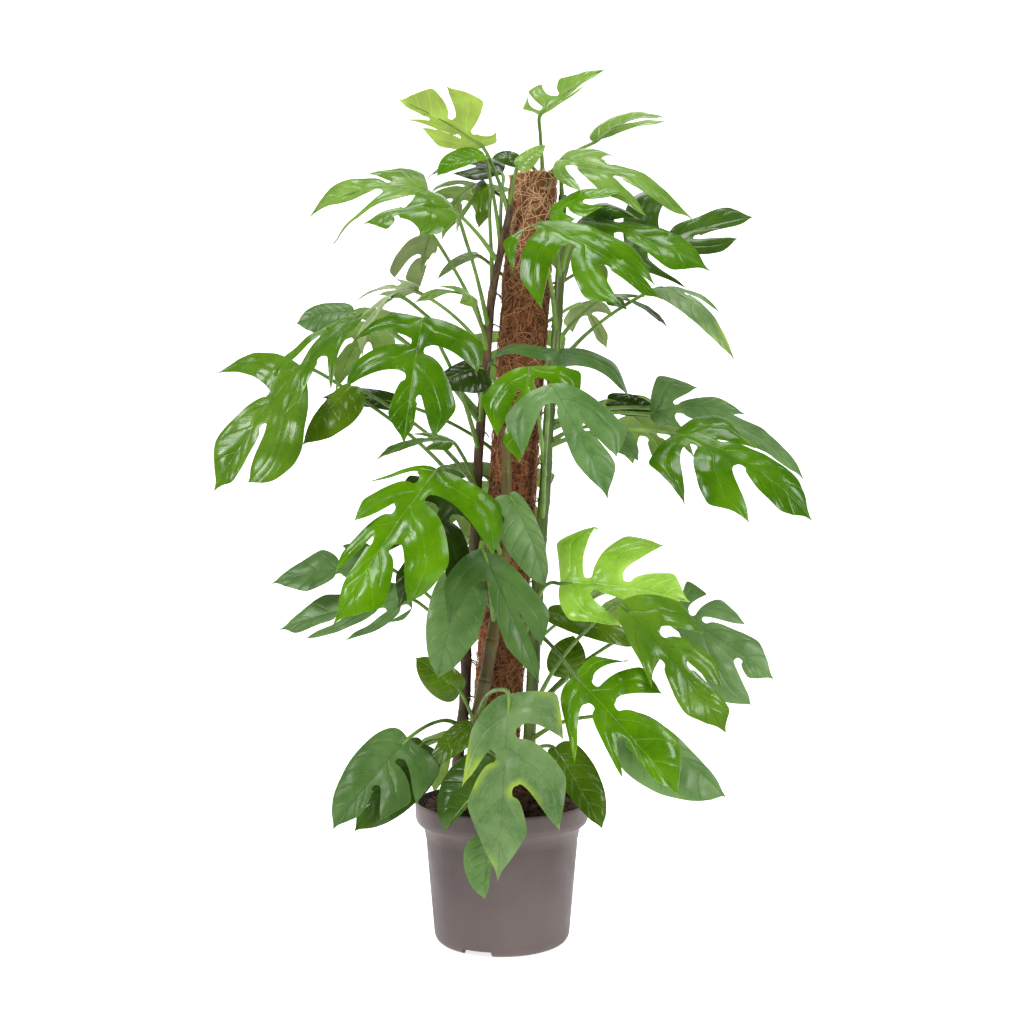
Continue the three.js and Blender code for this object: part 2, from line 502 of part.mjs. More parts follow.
    0.16, 0.64, { from: 222 }],
  ['right_low_olive', 'right', 'olive', [70, -50, 292], [76, -46, 336], [0, -0.85, 0.45], 0.08,
    0.88, 0.61],
  ['bottom_left', 'left', 'blue', [-94, -130, 240], [-164, -165, 158], [-0.1, -0.88, 0.4], 0.05,
    [[0.4, 0.46, 0.21, 0.02, 0.43], [0.71, 0.32, 0.52, 0.42, 0.43], [0.78, 0.13]], 0.42, { from: 230 }],
  ['bottom_left_under', 'left', 'olive', [-82, -85, 228], [-148, -120, 146], [-0.1, -0.85, 0.45], 0.1,
    0.52, 0.23, { from: 206 }],
  ['bottom_inner', 'low', 'mid', [-30, -95, 250], [-72, -130, 212], [-0.1, -0.8, 0.5], 0.12,
    0.41, 0.26, { from: 228 }],
  ['bottom_front', 'low', 'sage', [8, -216, 296], [-2, -251, 130], [0, -0.92, 0.35], 0.04,
    [[0.24, 0.33, 0.21, -0.02, 0.28], [0.72, 0.33, 0.53, 0.44, 0.36], [0.75, 0.15]],
    [[0.52, 0.23, 0.35, 0.21, 0.2], [0.62, 0.2]], { droop: 0.5, from: 250 }],
  ['bottom_dark', 'low', 'blue', [0, -130, 214], [-56, -160, 154], [-0.1, -0.85, 0.4], 0.1,
    0.08, 0.67, { from: 214 }],
  ['bottom_hanging', 'low', 'mid', [-14, -118, 138], [-16, -132, 80], [0.1, -0.97, 0.1], 0.04,
    0.13, 0.59, { droop: 0.4 }],
  ['bottom_right', 'right', 'mid', [54, -125, 230], [100, -155, 156], [0.1, -0.88, 0.4], 0.05,
    0.42, 0.23, { from: 200 }],
];

// The leaves on the far side grow from the back stem, and are one leafy shoot with it.
const BACK_LEAVES = [
  ['back_top_left', 'back', 'mid', [-28, 90, 850], [-75, 190, 806], [-0.2, 0.5, 0.85], 0.14,
    [[0.3, 0.4], [0.74, 0.33, 0.53]], [[0.3, 0.42], [0.74, 0.34, 0.53]]],
  ['back_top_right', 'back', 'mid', [62, 112, 800], [128, 205, 742], [0.3, 0.6, 0.7], 0.12,
    [[0.3, 0.42], [0.74, 0.34, 0.53]], [[0.3, 0.38], [0.74, 0.31, 0.53]]],
  ['back_shoulder_left', 'back', 'mid', [-128, 104, 702], [-206, 184, 620], [-0.4, 0.55, 0.7], 0.12,
    [[0.3, 0.4], [0.74, 0.33, 0.53]], [[0.3, 0.42], [0.74, 0.34, 0.53]]],
  ['back_upper', 'back', 'mid', [12, 150, 686], [24, 258, 582], [0, 0.7, 0.6], 0.12,
    [[0.3, 0.44], [0.74, 0.36, 0.53]], [[0.3, 0.42], [0.74, 0.34, 0.53]]],
  ['back_shoulder_right', 'back', 'mid', [130, 122, 600], [216, 196, 498], [0.4, 0.6, 0.6], 0.12,
    [[0.3, 0.42], [0.74, 0.34, 0.53]], [[0.3, 0.42], [0.74, 0.34, 0.53]]],
  ['back_left', 'back', 'mid', [-42, 140, 505], [-102, 240, 392], [-0.35, 0.65, 0.6], 0.12,
    [[0.3, 0.42], [0.74, 0.34, 0.53]], [[0.3, 0.42], [0.74, 0.34, 0.53]]],
  ['back_middle', 'back', 'mid', [-8, 168, 526], [-22, 272, 398], [0, 0.75, 0.55], 0.12,
    [[0.3, 0.44], [0.74, 0.36, 0.53]], [[0.3, 0.44], [0.74, 0.36, 0.53]]],
  ['back_right', 'back', 'mid', [142, 134, 384], [188, 236, 260], [0.3, 0.7, 0.55], 0.12,
    [[0.3, 0.42], [0.74, 0.34, 0.53]], [[0.3, 0.42], [0.74, 0.34, 0.53]]],
  ['back_low_left', 'back', 'mid', [-40, 132, 440], [-70, 212, 345], [-0.35, 0.65, 0.6], 0.12,
    [[0.3, 0.4], [0.74, 0.33, 0.53]], [[0.3, 0.42], [0.74, 0.34, 0.53]]],
  ['back_low', 'back', 'mid', [-18, 156, 368], [-4, 236, 238], [0, 0.8, 0.5], 0.12,
    [[0.3, 0.42], [0.74, 0.34, 0.53]], [[0.3, 0.42], [0.74, 0.34, 0.53]]],
  ['back_bottom', 'back', 'mid', [-50, 120, 210], [-84, 170, 125], [-0.3, 0.75, 0.5], 0.12,
    [[0.46, 0.38]], [[0.46, 0.4]]],
  ['crown_new', 'back', 'pale', [40, -15, 900], [110, -30, 946], [-0.3, -0.75, 0.5], 0.04,
    [[0.01, 0.45, 0.06, -0.14, 0.33], [0.25, 0.35, 0.33, 0.04, 0.42], [0.47, 0.27]],
    [[0.68, 0.13, 0.32, 0.41, 0.13], [0.85, 0.05]], { droop: 0.3 }],
  ['right_shade', 'back', 'dark', [117, 8, 592], [176, 10, 578], [0, -0.85, 0.5], 0.06,
    0.3, 0.42],
  ['left_shade', 'back', 'dark', [-109, 12, 588], [-197, 4, 596], [0, -0.85, 0.5], 0.06,
    0.22, 0.2],
  ['upper_curl', 'back', 'grey', [-27, 20, 754], [-72, 22, 728], [0, -0.8, 0.5], 0.12,
    0.12, 0.25, { from: 700 }],
  ['crown_centre_curl', 'back', 'dark', [20, -8, 854], [-10, -14, 854], [0, -0.8, 0.5], 0.1,
    0.65, 0.51, { droop: 1.1 }],
  ['crown_right_back', 'back', 'pale', [104, 40, 886], [182, 50, 916], [-0.1, -0.5, 0.85], 0.12,
    0.5, [[0.86, 0.5, 0.42, 0.6, 0.46], [0.75, 0.15]], { droop: 0.5 }],
  ['upper_right_back', 'back', 'dark', [140, 45, 762], [280, 35, 800], [0.1, -0.85, 0.4], 0.04,
    [[0.39, 0.34, 0.35, 0.27, 0.76], [0.85, 0.13]], [[0.37, 0.51, 0.19, 0.13, 0.27, -0.04],
    [0.83, 0.21, 0.55, 0.69, 0.28], [0.94, 0.05]]],
  ['right_pale_behind', 'back', 'pale', [90, 70, 708], [122, 100, 660], [0.2, 0.7, 0.55], 0.1,
    [[0.46, 0.45]], [[0.46, 0.45]]],
];

const leafOf = ([stem, tone, base, tip, face, arch, left, right, more = {}]) => (
  { stem, tone, base, tip, face, arch, left, right, droop: 0.75, fold: 0.2, ...more });

// ---- soil -------------------------------------------------------------------------------------------
function soilSolid() {
  const wallInside = (z) => {
    const bandBottom = POT.rimTop - POT.rimBand;
    const low = POT.footRadius - POT.wall;
    const high = POT.shoulderRadius - POT.wall;
    if (z < POT.shoulderBottom) return low + ((high - low) * (z - 11)) / (POT.shoulderBottom - 11);
    const top = POT.rimRadius - POT.wall - 1;
    return high + ((top - high) * Math.min(1, (z - POT.shoulderBottom) / (bandBottom - POT.shoulderBottom)));
  };
  const profile = [new THREE.Vector2(0, SOIL.bottom)];
  const levels = [SOIL.bottom, 12, POT.shoulderBottom, POT.rimTop - POT.rimBand, SOIL.edge];
  const inset = [4.5, SOIL.gap + 0.2, SOIL.gap + 0.2, SOIL.gap, SOIL.gap];
  levels.forEach((z, i) => profile.push(new THREE.Vector2(wallInside(z) - inset[i], z)));
  const edge = wallInside(SOIL.edge) - SOIL.gap;
  const rise = SOIL.crown - SOIL.edge;
  for (let ring = 1; ring <= 5; ring += 1) {
    const share = 1 - ring / 6;
    profile.push(new THREE.Vector2(edge * share, SOIL.edge + rise * (1 - share ** 1.6)));
  }
  profile.push(new THREE.Vector2(0, SOIL.crown));
  const turned = new THREE.LatheGeometry(profile, SOIL.sides);
  turned.rotateX(Math.PI / 2);
  const place = turned.getAttribute('position');
  for (let i = 0; i < place.count; i += 1) {
    const z = place.getZ(i);
    if (z > SOIL.edge + 1) {
      const x = place.getX(i);
      const y = place.getY(i);
      place.setZ(i, z + 3 * Math.sin(x * 0.11 + 1) * Math.cos(y * 0.13));
    }
  }
  let soil = solidOf(turned).subtract(solidOf(poleGeometry(SOIL.holeGap)));
  for (const vine of Object.values(VINES)) {
    soil = soil.subtract(solidOf(vineGeometry(vine, SOIL.holeGap)));
  }
  return soil;
}

// ---- the plant in its pot -----------------------------------------------------------------------------
const plant = new THREE.Group();
function add(name, geometry, material) {
  const mesh = new THREE.Mesh(geometry, material);
  mesh.name = name;
  plant.add(mesh);
}

add('pot', geometryOf(potSolid()), finish('#7a6e70', 0.55));
add('soil', geometryOf(soilSolid()), finish('#3d2a22', 0.95));
add('coir_pole', geometryOf(solidOf(poleGeometry(0))), finish('#7d4a30', 0.95));
for (const name of ['right', 'left', 'low']) {
  add(`vine_${name}`, geometryOf(solidOf(vineGeometry(VINES[name], 0))), finish(VINES[name].color, 0.5));
}
let shoot = solidOf(vineGeometry(VINES.back, 0));
for (const [, ...row] of BACK_LEAVES) {
  shoot = shoot.add(leafSolid({ ...leafOf(row), grown: true }));
}
add('vine_back_leafy', geometryOf(shoot), finish(TONES.mid, 0.4));
for (const [name, ...row] of LEAVES) {
  add(`leaf_${name}`, geometryOf(leafSolid(leafOf(row))), finish(TONES[leafOf(row).tone], 0.35));
}

export default plant;
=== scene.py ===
"""A mini monstera on a coir pole in its nursery pot: the finished looks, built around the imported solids.

Everything is modelled at its real size. Sizes are in millimetres, and MM turns them into metres.
"""
import math
from itertools import combinations

import bpy
import numpy as np
from mathutils import Matrix, Vector, noise
from mathutils.geometry import delaunay_2d_cdt
from numpy.linalg import norm


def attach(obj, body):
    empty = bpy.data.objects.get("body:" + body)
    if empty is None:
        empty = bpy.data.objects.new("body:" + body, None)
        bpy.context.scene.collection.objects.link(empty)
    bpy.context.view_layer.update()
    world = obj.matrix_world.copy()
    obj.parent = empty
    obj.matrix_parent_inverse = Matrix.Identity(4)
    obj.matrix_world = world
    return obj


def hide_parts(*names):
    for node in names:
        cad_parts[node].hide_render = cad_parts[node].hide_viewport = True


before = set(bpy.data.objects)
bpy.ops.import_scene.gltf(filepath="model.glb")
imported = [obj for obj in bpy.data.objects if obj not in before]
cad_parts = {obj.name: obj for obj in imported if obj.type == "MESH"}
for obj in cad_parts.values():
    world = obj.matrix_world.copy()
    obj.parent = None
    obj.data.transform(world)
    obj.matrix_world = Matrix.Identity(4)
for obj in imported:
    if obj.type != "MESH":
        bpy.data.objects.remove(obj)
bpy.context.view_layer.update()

MM = 0.001
UP = np.array([0.0, 0.0, 1.0])

# ---- driving dimensions, as in the solids, but with fewer, larger drainage notches ----------------
POT = dict(rim_radius=95, rim_top=152, rim_band=18, wall=2.6, shoulder_radius=84.5, shoulder_bottom=119,
           step_depth=1.2, step_height=6, foot_radius=73.5, foot_round=11, floor=3, stand_ring=64,
           pad_radius=22, recess=4, notches=3, notch_width=34, notch_height=6.8, notch_turn=-2.48)
SOIL = dict(edge=143, crown=182, gap=0.4)
POLE = dict(radius=27, bottom=40, top=836, foot_x=-10, foot_z=175, lean=0.068)
SOIL_EDGE = POT["rim_radius"] - POT["wall"] - 1 - SOIL["gap"]
VINE_RADIUS = dict(right=7.2, left=6.2, low=7.6, back=6.6)
STEM_POINTS = 400
STALK_RADIUS = 2.3
CRUMBS = 520
WOUND_STRANDS, TOP_STRANDS = 2600, 420

# The blades' thickness, mesh and gentle relief in millimetres.
BLADE = dict(thickness=0.7, mesh_step=3.0, wave=2.6, wave_long=24, wave_wide=20, field=0.5, field_width=9.5,
             rim_fall=1.3, rim_width=3.5, rib_groove=0.6, rib_width=2.2, vein_groove=0.5, vein_width=2.4)

# In shares of a leaf's length: how far off the midrib a split ends, and half its width there.
SPLIT_END = 0.055
SPLIT_HALF = 0.032

# A lobe's edge: the number of its points, the share at its shoulder, which points are evened out there and
# how many times, and which point is beside the lobe's middle.
EDGE_POINTS = 60
SHOULDER_AT = 0.6
SHOULDER_POINTS = (26, 46)
SHOULDER_PASSES = 14
LOBE_MIDDLE = 34

# The two halves of a blade, and how far a vein is marked on either side in millimetres.
MIRROR = np.array([(1, 1), (1, -1)])
VEIN_REACH = 9.0


def split_twice(out):
    """A plain side with two lobes, the lower one this far out."""
    return [(0.3, out), (0.74, round(0.82 * out, 2), 0.53)]


# Each stem climbs beside the pole: height, how far right of the pole's middle, depth.
VINES = {
    "right": [(95, 38, -22), (175, 37, -25), (260, 36, -26), (345, 35, -27), (430, 34, -28),
              (500, 35, -27), (560, 34, -27), (640, 36, -18), (720, 36, -6), (780, 34, -4),
              (815, 33, -2)],
    "left": [(95, -36, 4), (175, -40, 2), (270, -37, 8), (360, -41, 2), (450, -38, -6), (540, -40, -2),
             (630, -38, -8), (700, -37, -12), (750, -30, -24), (798, -22, -33)],
    "low": [(95, -18, -40), (170, -20, -42), (235, -22, -38), (300, -14, -38), (365, -8, -37),
            (440, -4, -38), (515, -8, -36), (560, -12, -36)],
    "back": [(95, 6, 38), (175, 4, 41), (280, -6, 38), (390, 4, 40), (500, 8, 37), (610, -4, 40),
             (720, 2, 37), (810, 8, 38), (850, 12, 34)],
}

# A leaf: name, stem, tone, where the stalk meets the blade, tip, where the upper face looks, arch of the
# midrib, left side, right side, other bends. A side is its width where it is whole, or its lobes: along and
# out of the lobe's point, where its split ends, along and out of its shoulder, and how full the edge is
# beyond that. A last pair is the end lobe's widest place.
LEAVES = [
    ("crown_left_young", "left", "pale", (-20, -20, 864), (-108, -50, 906), (0.25, 0.75, 0.45), 0.08,
     [(-0.02, 0.22, 0.16, -0.1, 0.12), (0.65, 0.38, 0.44, 0.24, 0.45), (0.77, 0.27)],
     [(0.65, 0.18, 0.27, 0.39, 0.29), (0.86, 0.19, 0.65, 0.77, 0.16), (0.92, 0.05)],
     dict(droop=0.4, start=790)),
    ("crown_low", "left", "bright", (-18, -30, 852), (-68, -55, 826), (-0.1, -0.8, 0.5), 0.1, 0.26, 0.49,
     dict(start=750)),
    ("crown_inner", "left", "bright", (16, -40, 838), (46, -44, 860), (0, -0.8, 0.5), 0.06, 0.32, 0.58,
     dict(start=782)),
    ("left_low_upper", "left", "dark", (-128, -30, 412), (-248, -26, 392), (-0.1, -0.8, 0.5), 0.05,
     [(0.37, 0.32, 0.39, 0.19, 0.3), (0.69, 0.19)], [(0.34, 0.21, 0.35, 0.15, 0.26), (0.54, 0.24)]),
    ("left_inner_dark", "left", "dark", (-20, -80, 618), (-66, -110, 598), (-0.1, -0.85, 0.4), 0.1, 0.74,
     0.33),
    ("upper_left_long", "left", "mid", (-78, -50, 810), (-200, -80, 778), (-0.1, -0.75, 0.6), 0.14,
     [(0.91, 0.43, 0.44, 0.64, 0.28), (0.71, 0.09)], [(0.46, 0.14, 0.32, -0.04, 0.39), (0.72, 0.18)],
     dict(start=736)),
    ("upper_left_front", "left", "mid", (-48, -95, 780), (-136, -140, 758), (-0.1, -0.75, 0.6), 0.08,
     [(0.57, 0.38, 0.69, 0.33, 0.39), (0.87, 0.24)], [(0.35, 0.32, 0.55, -0.01, 0.36), (0.79, 0.05)],
     dict(start=664)),
    ("upper_left_hanging", "left", "grey", (-78, -10, 772), (-92, 30, 722), (-0.3, 0.75, 0.5), 0.1,
     [(0.79, 0.58, 0.5, 0.57, 0.8), (0.9, 0.31)], [(0.39, 0.18, 0.65, 0.24, 0.19), (0.64, 0.1)],
     dict(start=652)),
    ("upper_left_inner", "left", "dark", (0, 55, 854), (-88, 95, 858), (-0.1, -0.5, 0.8), 0.15,
     [(0.46, 0.38)], [(0.46, 0.38)], dict(start=742)),
    ("upper_left_low", "left", "dark", (-16, 36, 832), (-54, 80, 788), (-0.2, -0.75, 0.6), 0.12,
     [(0.46, 0.45)], [(0.46, 0.45)], dict(start=704)),
    ("crown_right_long", "right", "mid", (62, -40, 846), (200, -72, 774), (0.2, -0.7, 0.6), 0.1,
     [(0.31, 0.23, 0.32, 0.11, 0.23), (0.6, 0.1)],
     [(0.33, 0.4, 0.13, 0.12, 0.32), (0.74, 0.2, 0.45, 0.44, 0.28), (0.83, 0.1)]),
    ("upper_right_fold", "right", "bright", (52, -85, 778), (124, -95, 798), (-0.3, -0.7, 0.6), 0.1, 0.26,
     [(0.3, 0.4), (0.7, 0.36, 0.5)]),
    ("upper_right_front", "right", "bright", (38, -150, 756), (154, -195, 674), (0.1, -0.82, 0.55), 0.05,
     [(0.88, 0.12, 0.61, 0.61, 0.24), (0.83, 0.04)],
     [(0.13, 0.48, 0.02, -0.08, 0.31), (0.43, 0.57, 0.32, 0.19, 0.48), (0.86, 0.32, 0.6, 0.67, 0.41),
      (0.92, 0.08)]),
    ("upper_right_mid", "right", "mid", (84, -60, 778), (212, -110, 716), (0.1, -0.7, 0.65), 0.06,
     [(0.35, 0.23, 0.25, 0, 0.35), (0.74, 0.16)], [(0.63, 0.4, 0.35, 0.27, 0.32), (0.81, 0.22)]),
    ("right_edge_on", "right", "mid", (170, -20, 712), (244, -70, 630), (0.2, -0.8, 0.5), 0.16,
     [(0.61, 0.15, 0.27, 0.4, 0.15), (0.6, 0.06)], 0.26),
    ("right_under", "right", "dark", (114, -15, 704), (178, -35, 668), (0.1, -0.35, 0.9), 0.1,
     [(0.46, 0.38)], [(0.46, 0.38)]),
    ("far_left", "left", "mid", (-214, -60, 624), (-296, -95, 492), (-0.2, -0.85, 0.45), 0.03,
     [(0.87, 0.25, 0.5, 0.59, 0.47, 0.12), (0.91, 0.11)], [(0.29, 0.59, 0.28, 0.06, 0.36), (0.72, 0.19)],
     dict(droop=0.4)),
    ("left_edge_on", "left", "mid", (-144, -75, 676), (-220, -135, 562), (-0.3, -0.85, 0.4), 0.14,
     [(0.73, 0.28, 0.55, 0.43, 0.15), (0.83, 0.08)], [(0.82, 0.12, 0.33, 0.77, 0.17), (0.93, 0.04)],
     dict(droop=0.5)),
    ("left_shoulder", "left", "dark", (-162, -10, 686), (-222, -20, 674), (-0.1, -0.8, 0.5), 0.08, 0.75,
     0.39),
    ("left_shoulder_back", "left", "mid", (-94, 20, 714), (-166, 50, 708), (-0.1, -0.4, 0.9), 0.12,
     [(0.46, 0.34)], [(0.46, 0.34)]),
    ("left_grey_lobe", "left", "grey", (-106, -126, 688), (-138, -162, 624), (-0.65, -0.4, 0.55), 0.12,
     0.26, [(0.46, 0.3)], dict(droop=0.5, start=602)),
    ("left_inner_top", "left", "mid", (-30, -70, 694), (-88, -106, 684), (-0.1, -0.6, 0.8), 0.12,
     [(0.46, 0.4)], [(0.46, 0.34)]),
    ("left_front", "left", "bright", (-76, -173, 658), (-92, -208, 534), (0, -0.87, 0.5), 0.06,
     [(0.37, 0.51, 0.28, 0.15, 0.54), (0.93, 0.22, 0.67, 0.69, 0.38), (0.88, 0.06)],
     [(0.22, 0.56, 0.22, 0.06, 0.41), (0.6, 0.55, 0.51, 0.43, 0.55), (0.81, 0.15)]),
    ("left_behind", "left", "olive", (-160, -50, 602), (-208, -70, 540), (-0.2, -0.85, 0.4), 0.05, 0.58,
     0.19, dict(start=495)),
    ("left_low_small", "left", "mid", (-52, -55, 544), (-130, -80, 524), (0, -0.4, 0.9), 0.1, [(0.46, 0.3)],
     [(0.46, 0.3)]),
    ("centre_arch", "right", "blue", (58, -80, 638), (62, -140, 560), (0, -0.85, 0.5), 0.1,
     [(0.5, 0.87, 0.38, 0.08, 0.72), (0.71, 0.08)], [(-0.17, 0.88, 0.3, -0.34, 0.53), (0.71, 0.06)],
     dict(droop=0.7)),
    ("centre_bright", "right", "bright", (28, -175, 610), (18, -200, 516), (0, -0.85, 0.5), 0.06,
     [(0.36, 0.58, 0.16, -0.06, 0.58), (0.81, 0.08)], [(0.75, 0.26, 0.3, 0.37, 0.5), (0.83, 0.19)]),
    ("centre_blue", "right", "blue", (48, -211, 590), (100, -241, 482), (0.1, -0.85, 0.5), 0.05,
     [(0.74, 0.2, 0.44, 0.55, 0.44), (0.8, 0.17)], [(0.44, 0.5, 0.19, 0.11, 0.49), (0.68, 0.14)]),
    ("centre_grey", "low", "blue", (8, -80, 486), (46, -95, 392), (0.15, -0.85, 0.5), 0.1, 0.2, 0.45),
    ("left_low_front", "left", "bright", (-62, -170, 510), (-158, -215, 364), (-0.05, -0.85, 0.5), 0.04,
     [(0.24, 0.54, 0.18, -0.02, 0.42, 0.1), (0.71, 0.29, 0.51, 0.42, 0.38, 0.1), (0.8, 0.21)],
     [(0.27, 0.25, 0.11, 0.13, 0.17), (0.5, 0.18, 0.33, 0.36, 0.24), (0.76, 0.16, 0.54, 0.66, 0.18),
      (0.8, 0.07)], dict(start=488)),
    ("left_low_dark", "low", "dark", (-46, -95, 488), (-104, -125, 372), (0, -0.9, 0.35), 0.08,
     split_twice(0.42), split_twice(0.4), dict(droop=0.5)),
    ("hanging_blue", "low", "blue", (-20, -132, 432), (38, -162, 300), (0, -0.92, 0.35), 0.06,
     [(0.78, 0.11, 0.54, 0.59, 0.26), (0.86, 0.05)], [(0.42, 0.43, 0.26, 0.13, 0.34), (0.7, 0.12)],
     dict(droop=0.4)),
    ("hanging_companion", "low", "blue", (-40, -60, 404), (-66, -80, 296), (0, -0.9, 0.4), 0.06, 0.43, 0.35,
     dict(droop=0.5)),
    ("left_low_back", "left", "dark", (-98, -30, 376), (-240, -20, 342), (-0.1, -0.75, 0.6), 0.05,
     [(0.17, 0.25, 0.05, 0.06, 0.22), (0.49, 0.33, 0.22, 0.3, 0.28), (0.78, 0.23, 0.54, 0.67, 0.23),
      (0.88, 0.1)], [(0.36, 0.2, 0.39, 0.16, 0.18), (0.63, 0.18)]),
    ("small_round", "low", "olive", (-44, -55, 278), (-90, -60, 314), (-0.1, -0.95, 0.3), 0.1, 0.54, 0.41),
    ("right_front", "right", "bright", (180, -85, 550), (312, -130, 462), (0.1, -0.75, 0.6), 0.12,
     [(0.48, 0.14, 0.28, 0.14, 0.31, -0.05), (0.78, 0.16)],
     [(0.36, 0.53, 0.16, 0, 0.34, -0.06), (0.73, 0.35, 0.49, 0.47, 0.43, -0.06), (0.84, 0.16)],
     dict(start=537)),
    ("right_blue", "right", "blue", (160, -35, 574), (260, -40, 574), (0.05, -0.8, 0.5), 0.12,
     [(0.5, 0.28, 0.27, 0.09, 0.51), (0.68, 0.13)], [(0.34, 0.29, 0.3, 0.06, 0.19), (0.58, 0.22)],
     dict(start=556, droop=0.3)),
    ("right_tip_behind", "right", "dark", (222, -5, 574), (326, -25, 506), (0.2, -0.6, 0.7), 0.1, 0.2, 0.24,
     dict(start=562)),
    ("right_low_small", "right", "dark", (104, -30, 562), (144, -60, 524), (0.1, -0.8, 0.5), 0.1, 0.4, 0.4,
     dict(start=540)),
    ("right_low_bright", "right", "bright", (60, -120, 396), (186, -150, 380), (0, -0.85, 0.5), 0.08,
     [(0.19, 0.58, 0.21, -0.12, 0.4), (0.73, 0.48, 0.52, 0.44, 0.53), (0.86, 0.2)],
     [(0.56, 0.35, 0.3, 0.14, 0.34), (0.6, 0.12)], dict(droop=0.5, start=374)),
    ("right_low_glossy", "right", "mid", (116, -173, 380), (214, -208, 260), (0.1, -0.8, 0.55), 0.05,
     [(0.46, 0.31, 0.32, 0.22, 0.35), (0.79, 0.16, 0.57, 0.63, 0.25), (0.92, 0.11)],
     [(0.54, 0.24, 0.45, 0.24, 0.15, -0.05), (0.78, 0.17)]),
    ("right_low_shade", "right", "dark", (50, -58, 362), (146, -72, 328), (0, -0.85, 0.5), 0.06, 0.22, 0.22,
     dict(start=342)),
    ("right_low_back", "right", "blue", (184, -60, 362), (282, -85, 296), (0.1, -0.85, 0.45), 0.05,
     [(0.14, 0.3, 0.12, -0.09, 0.34), (0.55, 0.28, 0.25, 0.25, 0.4), (0.73, 0.21)],
     [(0.97, 0.33, 0.68, 0.73, 0.48), (0.83, 0.16)], dict(start=252)),
    ("right_low_front", "right", "bright", (72, -190, 310), (168, -225, 202), (0.1, -0.85, 0.45), 0.04,
     [(0.14, 0.36, 0.12, -0.03, 0.19, -0.05), (0.44, 0.39, 0.33, 0.23, 0.42), (0.73, 0.25)],
     [(0.43, 0.43, 0.22, 0.06, 0.2), (0.7, 0.25, 0.52, 0.49, 0.19), (0.8, 0.07)],
     dict(droop=0.5, start=338, bow=0.02)),
    ("right_low_blue", "right", "blue", (132, -135, 262), (220, -165, 190), (0.1, -0.85, 0.45), 0.05, 0.16,
     0.64, dict(start=222)),
    ("right_low_olive", "right", "olive", (70, -50, 292), (76, -46, 336), (0, -0.85, 0.45), 0.08, 0.88,
     0.61),
    ("bottom_left", "left", "blue", (-94, -130, 240), (-164, -165, 158), (-0.1, -0.88, 0.4), 0.05,
     [(0.4, 0.46, 0.21, 0.02, 0.43), (0.71, 0.32, 0.52, 0.42, 0.43), (0.78, 0.13)], 0.42, dict(start=230)),
    ("bottom_left_under", "left", "olive", (-82, -85, 228), (-148, -120, 146), (-0.1, -0.85, 0.45), 0.1,
     0.52, 0.23, dict(start=206)),
    ("bottom_inner", "low", "mid", (-30, -95, 250), (-72, -130, 212), (-0.1, -0.8, 0.5), 0.12, 0.41, 0.26,
     dict(start=228)),
    ("bottom_front", "low", "sage", (8, -216, 296), (-2, -251, 130), (0, -0.92, 0.35), 0.04,
     [(0.24, 0.33, 0.21, -0.02, 0.28), (0.72, 0.33, 0.53, 0.44, 0.36), (0.75, 0.15)],
     [(0.52, 0.23, 0.35, 0.21, 0.2), (0.62, 0.2)], dict(droop=0.5, start=250)),
    ("bottom_dark", "low", "blue", (0, -130, 214), (-56, -160, 154), (-0.1, -0.85, 0.4), 0.1, 0.08, 0.67,
     dict(start=214)),
    ("bottom_hanging", "low", "mid", (-14, -118, 138), (-16, -132, 80), (0.1, -0.97, 0.1), 0.04, 0.13, 0.59,
     dict(droop=0.4)),
    ("bottom_right", "right", "mid", (54, -125, 230), (100, -155, 156), (0.1, -0.88, 0.4), 0.05, 0.42, 0.23,
     dict(start=200)),
]

# The plain leaves behind: name, where the stalk meets the blade, tip, where the upper face looks, arch of
# the midrib, and how far out the lower lobe on the left and on the right is.
PLAIN_LEAVES = [
    ("top_left", (-28, 90, 850), (-75, 190, 806), (-0.2, 0.5, 0.85), 0.14, 0.4, 0.42),
    ("top_right", (62, 112, 800), (128, 205, 742), (0.3, 0.6, 0.7), 0.12, 0.42, 0.38),
    ("shoulder_left", (-128, 104, 702), (-206, 184, 620), (-0.4, 0.55, 0.7), 0.12, 0.4, 0.42),
    ("upper", (12, 150, 686), (24, 258, 582), (0, 0.7, 0.6), 0.12, 0.44, 0.42),
    ("shoulder_right", (130, 122, 600), (216, 196, 498), (0.4, 0.6, 0.6), 0.12, 0.42, 0.42),
    ("left", (-42, 140, 505), (-102, 240, 392), (-0.35, 0.65, 0.6), 0.12, 0.42, 0.42),
    ("middle", (-8, 168, 526), (-22, 272, 398), (0, 0.75, 0.55), 0.12, 0.44, 0.44),
    ("right", (142, 134, 384), (188, 236, 260), (0.3, 0.7, 0.55), 0.12, 0.42, 0.42),
    ("low_left", (-40, 132, 440), (-70, 212, 345), (-0.35, 0.65, 0.6), 0.12, 0.4, 0.42),
    ("low", (-18, 156, 368), (-4, 236, 238), (0, 0.8, 0.5), 0.12, 0.42, 0.42),
]
BACK_LEAVES = [("back_" + name, "back", "mid", base, tip, face, arch, split_twice(left), split_twice(right))
               for name, base, tip, face, arch, left, right in PLAIN_LEAVES]
